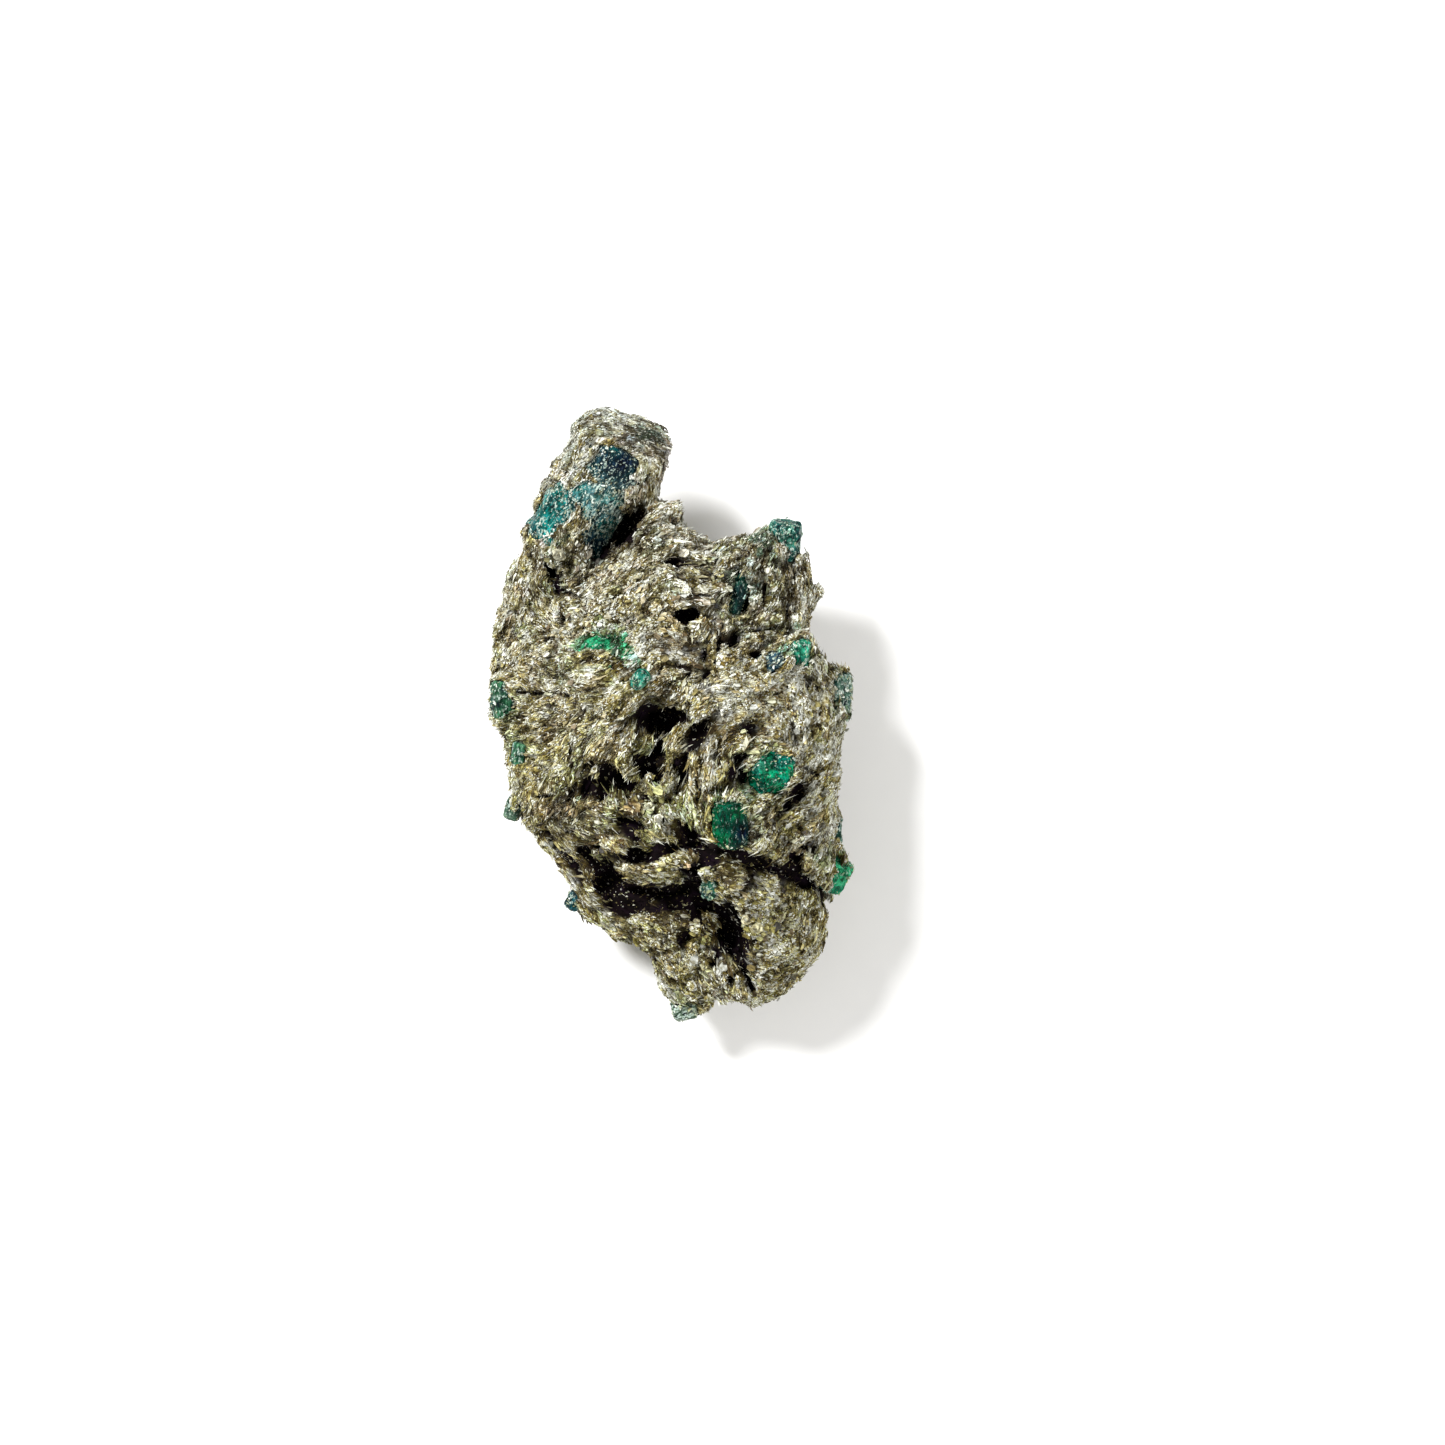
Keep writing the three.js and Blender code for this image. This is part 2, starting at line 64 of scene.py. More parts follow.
# Outline of the stone seen from above, lying on its flat side.
OUTLINE = [
  [-7.0, 29.95], [-4.57, 29.76], [-3.6, 29.08], [-3.21, 29.17], [-1.94, 28.69], [-1.26, 28.2], [0.29, 26.55], [0.49, 25.96],
  [-0.1, 24.99], [-1.36, 22.17], [-1.75, 20.52], [-0.1, 20.42], [0.39, 20.81], [1.07, 20.62], [1.17, 19.45], [0.97, 18.67],
  [2.04, 17.41], [4.08, 16.43], [5.35, 17.12], [5.93, 16.92], [6.32, 17.31], [7.59, 17.41], [9.24, 18.38], [10.79, 18.67],
  [11.47, 18.57], [12.45, 17.6], [12.35, 16.63], [12.64, 15.27], [14.0, 14.68], [14.0, 12.93], [14.68, 12.74], [14.88, 12.45],
  [14.88, 11.57], [14.2, 10.79], [13.52, 9.24], [13.32, 8.07], [14.2, 7.29], [14.98, 7.2], [15.27, 6.42], [15.75, 6.52],
  [15.66, 5.54], [16.05, 5.25], [16.73, 5.25], [17.12, 4.86], [17.41, 4.38], [17.7, 3.01], [16.63, -2.72], [16.73, -8.65],
  [16.53, -10.11], [16.73, -11.18], [16.43, -12.35], [16.53, -13.13], [17.12, -14.1], [17.12, -15.46], [16.92, -16.53], [16.34, -17.31],
  [16.14, -18.28], [15.66, -18.77], [15.56, -19.84], [15.17, -20.42], [15.07, -22.17], [14.68, -22.56], [14.2, -23.82], [13.32, -25.19],
  [11.77, -26.94], [9.53, -28.4], [7.97, -28.78], [6.42, -28.3], [4.67, -28.2], [1.94, -29.95], [0.68, -29.85], [0.29, -29.37],
  [-0.1, -27.81], [-1.26, -26.55], [-1.85, -24.89], [-2.43, -24.21], [-2.43, -23.53], [-3.31, -22.46], [-3.89, -22.07], [-4.96, -22.07],
  [-5.83, -21.59], [-9.63, -18.77], [-9.92, -18.28], [-9.82, -17.31], [-10.02, -16.63], [-11.28, -14.2], [-14.78, -10.79], [-15.85, -9.34],
  [-15.66, -5.54], [-16.14, -4.57], [-16.14, -3.31], [-16.63, -2.14], [-16.63, -1.26], [-17.5, 0.78], [-17.41, 4.28], [-17.8, 7.1],
  [-17.6, 8.46], [-17.12, 10.11], [-15.66, 12.93], [-14.59, 17.5], [-13.23, 20.81], [-12.74, 21.39], [-12.35, 22.46], [-10.99, 24.12],
  [-10.99, 24.51], [-10.11, 25.48], [-9.82, 26.06], [-9.72, 27.52], [-9.04, 28.78], [-8.27, 29.47],
]
# Shape of the rock by place: x, y, height of its widest line, rise above it, drop below it, edge roundness.
BODY = [
  [-5.35, 28.01, 12.4, 5.6, 5.8, 4.6],
  [-6.9, 23.92, 11.8, 4.1, 7.4, 5.0],
  [-11.18, 19.64, 11.2, 4.0, 7.2, 4.6],
  [-7.68, 16.43, 10.8, 7.6, 8.0, 6.0],
  [-2.53, 21.98, 11.4, 5.0, 7.2, 4.8],
  [-14.2, 11.09, 9.5, 9.5, 9.5, 7.5],
  [-15.17, 1.36, 8.8, 10.5, 10.0, 7.5],
  [-13.23, -8.36, 8.2, 10.0, 9.6, 7.0],
  [-7.88, -16.14, 7.6, 9.2, 8.6, 6.5],
  [-2.04, -21.98, 7.0, 7.6, 7.2, 6.0],
  [1.26, -28.59, 6.4, 4.6, 4.4, 4.0],
  [9.14, -25.38, 8.0, 9.0, 8.0, 7.0],
  [14.68, -18.09, 9.2, 10.0, 9.4, 7.0],
  [15.66, -8.36, 9.8, 11.2, 10.0, 7.5],
  [16.24, 1.36, 10.6, 10.6, 10.0, 7.0],
  [13.71, 9.14, 11.2, 7.0, 7.6, 5.5],
  [10.79, 15.95, 12.2, 6.0, 6.0, 5.0],
  [4.28, 13.03, 11.2, 8.6, 9.0, 6.5],
  [-0.1, 16.92, 10.8, 7.6, 8.4, 6.0],
  [-0.1, 6.22, 9.8, 12.0, 10.8, 8.5],
  [-4.96, -2.53, 9.2, 12.4, 11.0, 9.0],
  [6.71, -0.58, 9.8, 12.8, 11.0, 9.0],
  [8.65, -11.28, 9.4, 12.2, 10.8, 8.5],
  [-1.07, -11.28, 8.8, 11.6, 10.6, 8.5],
]
# Swells and hollows of the upper side: x, y, half length, half width, turn, rise.
MOUNDS = [
  [-12.45, 8.95, 3.5, 2.53, 20, 1.2],
  [-3.01, 11.86, 4.47, 2.14, 32, 1.2],
  [-10.79, 13.52, 2.53, 3.31, 70, 0.5],
  [8.36, 2.53, 5.06, 2.53, 5, 1.8],
  [6.71, -2.04, 3.89, 2.14, 0, 1.0],
  [14.1, -1.07, 1.94, 3.31, 0, 0.9],
  [-12.25, -2.04, 5.06, 2.92, 18, 1.4],
  [-6.9, 0.19, 4.47, 1.56, 28, 1.0],
  [10.21, -21.98, 3.89, 4.28, 10, 2.0],
  [-6.61, 4.86, 3.31, 2.53, 0, 1.0],
  [3.01, -7.39, 1.46, 5.83, 0, 0.9],
  [13.71, -9.82, 2.53, 3.89, 0, 0.8],
  [-1.56, -13.42, 6.03, 1.17, -6, 1.1],
  [2.82, 12.54, 3.31, 1.36, -8, 0.8],
  [-8.36, -18.09, 1.94, 4.28, 50, 0.5],
  [-1.07, -23.92, 2.92, 1.94, -40, 0.5],
  [11.38, 12.06, 1.56, 4.28, 0, 0.8],
  [-3.01, -5.93, 4.47, 4.08, 60, -1.6],
  [-3.01, -16.63, 6.42, 2.14, -8, -2.2],
  [4.96, -21.2, 1.94, 3.89, 20, -2.0],
  [-5.35, 17.31, 2.14, 3.31, -30, -2.0],
  [6.9, 10.5, 1.56, 2.92, -15, -1.4],
  [9.63, -7.39, 3.31, 2.92, 0, -0.8],
  [6.71, -13.81, 5.83, 1.17, -25, -1.2],
]
# Weathered-out pits: x, y, half length, half width, turn, depth.
PITS = [
  [-5.35, 17.5, 1.94, 2.43, -38, 2.8],
  [-1.46, -0.78, 2.24, 2.24, 0, 3.2],
  [-6.32, -15.95, 2.63, 1.94, -38, 3.2],
  [5.45, -21.2, 1.94, 2.82, 22, 2.8],
]
# Open cracks: half width, depth, points.
CRACKS = [
  [1.17, 2.2, [[2.04, -12.45], [3.99, -13.03], [6.71, -13.91], [9.63, -14.88], [12.54, -16.14], [14.68, -17.31]]],
  [1.26, 2.8, [[-7.88, -13.71], [-6.52, -15.36], [-4.57, -16.92], [-2.04, -17.41], [1.85, -16.92], [4.28, -17.89], [5.93, -20.23], [6.71, -22.95]]],
]
# Finer pits, in the same order.
FINE_PITS = [
  [-4.96, 17.89, 1.46, 2.43, -38, 5.5],
  [-6.9, 15.36, 0.97, 1.36, -40, 2.6],
  [-6.9, 17.89, 0.68, 0.78, 0, 2.0],
  [1.65, 9.53, 1.56, 0.78, 8, 3.8],
  [6.71, 10.79, 0.97, 1.94, -12, 3.8],
  [6.03, 7.2, 0.68, 1.17, -10, 2.4],
  [7.88, 5.74, 0.88, 0.49, 10, 2.0],
  [9.04, 12.25, 0.39, 1.17, 0, 1.8],
  [-0.88, -0.29, 2.04, 1.36, -24, 5.2],
  [-1.36, -3.11, 2.14, 1.07, -12, 4.4],
  [1.17, -0.19, 0.88, 0.68, 0, 2.6],
  [-7.88, -6.71, 0.78, 1.56, -20, 3.0],
  [-2.72, -4.28, 0.97, 1.85, 10, 4.0],
  [-1.26, -5.74, 1.36, 1.56, 0, 3.4],
  [0.88, -6.03, 0.68, 2.24, -14, 3.6],
  [-6.03, -6.42, 1.26, 2.14, -10, 3.8],
  [-9.24, -7.1, 0.39, 1.85, -24, 2.2],
  [-3.7, -7.0, 0.88, 0.97, 0, 3.0],
  [-0.29, -7.97, 1.17, 0.58, 0, 2.6],
  [-7.88, -4.47, 0.49, 1.36, -35, 2.0],
  [6.52, -3.79, 1.26, 0.39, 5, 2.4],
  [6.9, -5.83, 0.68, 1.36, 10, 3.0],
  [2.82, -12.06, 1.26, 0.39, 0, 2.2],
  [-0.39, -12.45, 1.36, 0.68, -8, 3.0],
  [-2.82, -13.81, 1.36, 0.58, 0, 2.6],
  [-8.36, -12.93, 0.97, 0.78, -30, 3.0],
  [-6.13, -15.75, 2.14, 1.36, -38, 4.8],
  [1.65, -16.24, 2.04, 1.07, -8, 4.8],
  [3.01, -18.38, 2.14, 1.26, -40, 3.6],
  [5.74, -21.2, 1.26, 2.82, 24, 4.6],
  [7.39, -13.13, 2.33, 0.97, -25, 3.8],
  [-2.43, -16.92, 2.92, 0.78, -3, 4.6],
  [12.54, -15.75, 1.56, 0.68, -25, 3.0],
  [4.08, -23.92, 0.58, 0.49, 0, 2.4],
  [5.83, -25.19, 0.58, 0.68, 0, 2.6],
  [2.92, -27.52, 0.58, 0.58, 0, 1.8],
  [1.85, -24.12, 0.49, 0.68, 0, 1.8],
  [-0.68, -21.78, 0.58, 0.39, 0, 1.8],
  [-1.56, -23.73, 0.49, 0.49, 0, 1.8],
  [15.07, -17.8, 0.49, 0.97, 0, 2.2],
  [-7.78, 3.6, 0.49, 0.78, -20, 1.8],
  [-4.28, 3.6, 0.58, 0.58, 0, 1.8],
  [-8.75, 1.75, 0.78, 0.39, 22, 1.6],
  [-10.21, 9.34, 0.39, 1.46, 10, 2.0],
  [1.85, 3.99, 0.58, 0.49, 0, 1.8],
  [-12.06, -7.68, 0.88, 0.29, 5, 1.6],
  [-16.05, 8.56, 0.39, 0.39, 0, 1.2],
  [-15.36, 1.26, 0.49, 0.58, 0, 1.6],
  [-10.79, 13.52, 0.49, 0.88, 30, 1.8],
  [-7.29, 11.09, 0.39, 0.88, 0, 1.6],
  [-3.01, 12.06, 0.68, 0.39, 20, 1.4],
  [-10.79, -10.31, 0.68, 0.39, 0, 1.6],
  [3.31, 5.74, 0.49, 0.88, -20, 2.0],
  [2.82, 16.43, 0.78, 0.39, -15, 1.6],
  [8.65, -0.78, 0.58, 0.39, 0, 1.3],
  [10.89, -11.86, 0.68, 0.49, 0, 1.8],
  [13.71, -12.74, 0.39, 0.78, 0, 1.8],
  [9.43, -9.82, 0.49, 0.39, 0, 1.5],
  [4.76, -8.36, 0.49, 0.39, 0, 1.5],
]
# Finer cracks, in the same order.
FINE_CRACKS = [
  [0.49, 3.0, [[1.65, -12.06], [3.99, -12.45], [6.71, -13.42], [9.63, -14.39], [12.54, -15.56], [14.49, -16.73], [15.07, -18.28]]],
  [0.49, 3.0, [[-8.27, -12.84], [-6.9, -14.78], [-4.76, -16.73], [-2.04, -17.41], [1.85, -16.92], [4.28, -17.7], [5.93, -20.03], [6.9, -23.44], [7.88, -26.35]]],
  [0.25, 1.8, [[-14.88, 2.43], [-12.74, 2.14], [-10.79, 2.14], [-8.85, 1.65]]],
  [0.25, 1.8, [[11.57, 15.36], [11.77, 13.52], [11.38, 11.09], [10.99, 8.65]]],
  [0.23, 1.6, [[6.9, 14.98], [8.17, 13.52], [9.82, 14.29]]],
  [0.27, 1.8, [[-10.79, 12.25], [-8.36, 11.28], [-7.88, 9.92]]],
  [0.25, 1.6, [[-11.96, 14.78], [-11.18, 13.03], [-10.79, 11.86]]],
  [0.25, 1.8, [[7.68, 7.97], [9.04, 8.17], [10.21, 8.75]]],
  [0.29, 2.0, [[4.76, 7.2], [4.38, 5.06], [3.4, 3.7]]],
  [0.25, 1.8, [[11.77, -4.28], [13.13, -5.06], [14.1, -5.64]]],
  [0.29, 2.0, [[-3.01, 20.23], [-4.18, 18.87], [-6.9, 14.98], [-7.88, 13.52]]],
]
# Beryl crystals: name, x, y, z of the middle, heading, rise of the axis, roll, radius, length.
CRYSTALS = [
  ["emerald_horn", -8.07, 20.81, 12.732, 59, 3, 10, 4.25, 12.0],
  ["emerald_nub", 10.99, 17.02, 13.482, 84, 20, 8, 1.9, 3.9],
  ["emerald_arch", -6.52, 4.76, 19.3, 80, 66, 0, 3.05, 4.2],
  ["emerald_bead", -2.72, 3.5, 22.4, 50, 40, 20, 0.85, 2.2],
  ["emerald_left_rim", -16.23, 1.65, 9.705, 96, 4, 10, 1.45, 4.0],
  ["emerald_left_low", -14.59, -3.6, 11.9, 80, 10, 0, 0.95, 2.4],
  ["emerald_round", 9.43, -5.35, 19.2, 60, 64, 14, 2.25, 5.0],
  ["emerald_block", 5.64, -10.21, 21.6, 92, 10, 30, 2.05, 4.3],
  ["emerald_right_rim", 15.94, -15.36, 10.427, 60, 30, 0, 1.55, 3.4],
  ["emerald_notch", 12.45, 6.03, 17.05, 84, 20, 10, 1.05, 3.0],
  ["emerald_blue", 9.72, 5.15, 18.8, 20, 14, 0, 1.15, 2.8],
  ["emerald_right_edge", 16.23, 2.43, 11.501, 86, 6, 20, 1.5, 4.2],
  ["emerald_side", 15.85, -10.99, 11.362, 88, 8, 15, 1.0, 2.8],
  ["emerald_foot", 1.26, -28.69, 6.709, 12, 8, 0, 1.3, 2.6],
  ["emerald_chip", -9.43, -17.89, 7.808, 60, 8, 0, 0.85, 2.0],
  ["emerald_dark", 6.52, 11.86, 18.15, 74, 6, 20, 0.95, 4.4],
  ["emerald_cleft", 3.89, -16.14, 17.6, 70, 30, 0, 1.0, 2.4],
  ["emerald_left_toe", -15.27, -8.95, 8.807, 70, 8, 0, 1.0, 2.6],
]
# How the mica lies by place: x, y, heading of the streaks, how far the sheets face up, roughness.
FOLIA = [
  [-4.96, 28.1, -10, 35, 0.6],
  [-7.88, 26.65, 32, 30, 0.6],
  [-2.04, 26.65, -25, 30, 0.7],
  [-9.63, 23.73, 50, 25, 0.6],
  [-11.96, 20.32, 58, 20, 0.6],
  [-14.2, 14.98, 62, 20, 0.6],
  [-16.14, 9.92, 68, 22, 0.8],
  [-16.34, 6.22, 62, 28, 0.8],
  [-2.04, 22.27, 82, 15, 0.8],
  [-5.15, 25.87, 22, 45, 0.6],
  [-5.45, 15.95, 50, 25, 1.0],
  [-10.31, 14.98, 60, 62, 1.1],
  [-11.77, 10.89, -40, 38, 0.8],
  [-7.88, 11.28, 35, 40, 0.9],
  [-3.01, 11.57, 50, 32, 0.9],
  [-0.1, 18.38, 32, 25, 1.2],
  [-9.82, 8.17, -10, 30, 0.7],
  [-6.9, 8.36, 5, 30, 0.7],
  [-3.99, 7.59, 35, 28, 0.7],
  [-8.36, 6.22, 15, 35, 0.8],
  [-11.57, 5.74, 30, 35, 0.8],
  [-14.2, 3.31, 0, 28, 0.9],
  [-7.88, 2.82, 18, 28, 0.9],
  [-3.79, 2.82, 50, 25, 0.8],
  [-12.74, 0.19, 20, 32, 0.8],
  [-7.88, -0.1, 32, 28, 0.8],
  [-4.76, -2.04, 46, 20, 1.1],
  [-13.71, -2.72, 12, 42, 0.8],
  [-8.36, -4.47, 50, 20, 1.0],
  [-5.74, -6.22, -65, 15, 1.4],
  [-3.01, -5.25, 58, 12, 1.5],
  [1.85, -5.45, 75, 12, 1.2],
  [1.85, -0.1, 62, 18, 1.1],
  [-14.68, -6.42, 58, 25, 0.8],
  [-9.34, -6.9, 70, 22, 1.0],
  [1.07, 7.2, -28, 42, 1.0],
  [3.99, 7.97, 60, 40, 0.9],
  [7.2, 9.92, 65, 20, 1.2],
  [6.22, 14.98, 55, 20, 1.1],
  [11.57, 14.49, 88, 12, 1.2],
  [13.32, 11.86, 78, 18, 1.2],
  [7.68, 3.5, 12, 42, 0.7],
  [6.52, 1.36, 5, 38, 0.7],
  [13.42, 0.58, -60, 60, 1.2],
  [15.46, -3.01, 55, 32, 0.9],
  [12.54, -7.2, 25, 20, 1.1],
  [12.54, -9.82, 38, 15, 1.1],
  [10.11, -12.45, 52, 32, 1.0],
  [-5.93, -10.31, -6, 32, 1.2],
  [-2.04, -8.56, -45, 55, 1.3],
  [2.04, -9.53, -85, 16, 1.2],
  [-5.93, -12.74, -20, 22, 1.3],
  [3.99, -11.86, -20, 20, 1.2],
  [-7.88, -14.39, -48, 25, 1.0],
  [-2.04, -14.39, 0, 20, 1.3],
  [7.68, -14.39, -20, 20, 1.2],
  [-4.96, -18.57, -38, 30, 1.1],
  [-1.56, -18.28, 0, 30, 1.2],
  [2.82, -18.28, -30, 28, 1.2],
  [6.22, -21.98, -73, 22, 1.2],
  [7.2, -26.06, -66, 30, 1.0],
  [9.43, -20.81, 0, 72, 1.1],
  [9.14, -24.41, -33, 34, 0.9],
  [11.18, -26.06, 30, 20, 0.9],
  [14.1, -19.55, 87, 20, 1.0],
  [1.07, -26.84, -50, 34, 1.1],
  [-2.04, -22.95, -50, 34, 1.0],
  [16.63, -10.31, 88, 20, 0.9],
  [2.82, 13.03, -10, 45, 1.1],
  [8.85, 7.2, 30, 36, 1.0],
]
# Where a mineral shows more than elsewhere: x, y, half length, half width, kind, strength.
PATCHES = [
  [-4.47, 28.1, 4.86, 2.14, "silver", 0.7],
  [-4.47, 27.62, 4.86, 2.43, "grey", 0.6],
  [-6.9, 24.51, 1.75, 0.97, "cream", 0.8],
  [-5.15, 25.87, 2.33, 0.68, "silver", 1.0],
  [-14.68, 14.98, 1.36, 5.83, "grey", 0.6],
  [-11.96, 16.92, 1.36, 3.89, "silver", 0.5],
  [-9.34, 15.46, 1.75, 1.56, "cream", 0.9],
  [-12.25, 8.17, 3.11, 3.5, "cream", 0.7],
  [-7.88, 11.86, 5.35, 2.53, "cream", 0.7],
  [-12.25, 11.09, 2.92, 2.92, "olive", 0.3],
  [0.88, 7.2, 3.5, 2.53, "tan", 0.8],
  [-3.01, 10.11, 3.89, 1.94, "cream", 0.5],
  [-14.2, 4.47, 3.31, 0.88, "brown", 0.8],
  [-14.68, 5.25, 2.33, 1.36, "tan", 0.6],
  [-9.63, 0.19, 5.83, 2.14, "cream", 0.6],
  [-6.9, -2.04, 3.89, 1.75, "tan", 0.4],
  [-10.79, 5.25, 4.86, 1.94, "grey", 0.4],
  [-7.88, -4.96, 3.31, 1.56, "olive", 0.6],
  [-4.96, -6.61, 4.86, 3.89, "olive", 0.6],
  [-3.99, -7.39, 4.86, 3.89, "brown", 0.5],
  [-12.25, -9.82, 3.31, 2.53, "cream", 0.5],
  [-11.28, -8.36, 2.92, 1.94, "tan", 0.4],
  [-3.01, -11.47, 7.78, 1.75, "olive", 0.8],
  [-3.99, -12.06, 6.81, 1.56, "rust", 0.1],
  [-3.01, -12.25, 7.78, 1.94, "brown", 0.9],
  [7.2, 2.33, 4.86, 2.14, "cream", 0.7],
  [7.2, 4.08, 3.89, 1.36, "silver", 0.8],
  [7.88, -1.56, 3.89, 1.94, "tan", 0.7],
  [13.71, 1.36, 1.56, 1.36, "silver", 1.2],
  [14.0, -1.56, 1.36, 1.17, "cream", 1.2],
  [11.57, -10.5, 3.11, 2.53, "tan", 0.8],
  [11.57, -11.28, 2.92, 1.94, "cream", 0.5],
  [12.06, -12.06, 0.97, 0.78, "rust", 0.35],
  [14.98, -11.77, 1.36, 2.53, "grey", 0.9],
  [9.14, -20.52, 4.86, 3.89, "cream", 0.5],
  [9.63, -21.0, 4.86, 3.89, "olive", 0.5],
  [6.22, -20.03, 2.53, 3.89, "brown", 1.2],
  [4.57, -21.49, 0.97, 0.88, "rust", 0.55],
  [-2.04, -20.52, 4.86, 2.92, "olive", 0.6],
  [-2.04, -20.03, 5.83, 2.92, "brown", 0.4],
  [1.85, -26.35, 4.47, 1.94, "silver", 0.4],
  [10.6, -25.38, 3.5, 1.94, "silver", 0.7],
  [2.82, 14.98, 4.47, 2.53, "grey", 0.6],
  [1.85, 15.95, 2.92, 1.56, "tan", 0.5],
  [6.22, 13.52, 2.14, 3.31, "grey", 1.0],
  [6.52, 13.03, 1.94, 3.11, "dark", 0.9],
  [10.11, 14.98, 2.53, 2.92, "silver", 0.7],
  [10.11, 14.49, 2.53, 3.89, "dark", 0.22],
  [8.65, 10.11, 3.89, 2.92, "grey", 0.5],
  [11.09, 6.71, 1.36, 1.17, "jade", 0.9],
  [9.82, 17.21, 1.46, 0.88, "jade", 2.2],
  [11.57, 18.09, 1.17, 0.78, "jade", 2.0],
  [6.9, 13.52, 1.56, 2.92, "jade", 0.35],
  [-6.9, 7.2, 2.33, 0.97, "jade", 0.35],
  [-4.47, 5.74, 0.97, 1.75, "jade", 0.5],
  [-4.96, 27.62, 3.89, 1.36, "dark", 0.18],
  [-5.93, 23.73, 2.92, 2.33, "dark", 0.2],
  [7.68, -4.08, 1.94, 0.78, "jade", 0.4],
  [5.74, -7.59, 2.14, 0.78, "jade", 0.7],
  [15.95, -13.23, 1.17, 1.56, "jade", 0.6],
  [16.63, 1.36, 0.97, 2.33, "jade", 0.5],
  [4.38, -23.73, 2.92, 1.94, "dark", 0.2],
]
# Bridges of mica left standing in the pits: x, y, heading, half length, radius, depth under the lid.
RIDGES = [
  [-2.82, -6.71, 58, 1.46, 0.5, 0.7],
  [-4.38, -4.18, -68, 1.85, 0.5, 0.3],
  [1.85, -7.39, 74, 2.92, 0.42, 0.2],
  [-0.19, -6.22, 30, 0.58, 0.85, 1.0],
  [-2.24, -2.72, 20, 0.68, 0.55, 1.2],
  [-6.9, -2.92, 52, 1.94, 0.45, 0.2],
  [0.49, -2.72, 68, 1.65, 0.6, 0.3],
  [-2.04, -8.65, 5, 0.78, 0.8, 0.8],
  [-0.58, -8.95, 40, 0.58, 0.8, 0.7],
  [-1.56, -14.98, -10, 2.53, 0.6, 0.3],
  [0.49, -13.81, 10, 1.17, 0.55, 0.5],
  [-4.38, -14.98, -30, 1.17, 0.5, 0.6],
  [4.38, -16.92, -60, 0.97, 0.5, 0.8],
  [-5.74, -8.36, 20, 0.88, 0.6, 0.6],
  [-1.46, 3.11, 15, 1.26, 0.8, 0.1],
  [1.85, -23.44, 60, 1.56, 0.8, 0.15],
  [0.49, -24.12, -40, 1.36, 0.7, 0.15],
  [7.2, -12.45, -22, 1.17, 0.35, 0.6],
  [3.99, -19.55, -40, 0.88, 0.5, 1.2],
  [-4.76, -4.67, -60, 1.17, 0.4, 0.9],
  [6.32, 9.92, 80, 0.97, 0.4, 1.0],
]
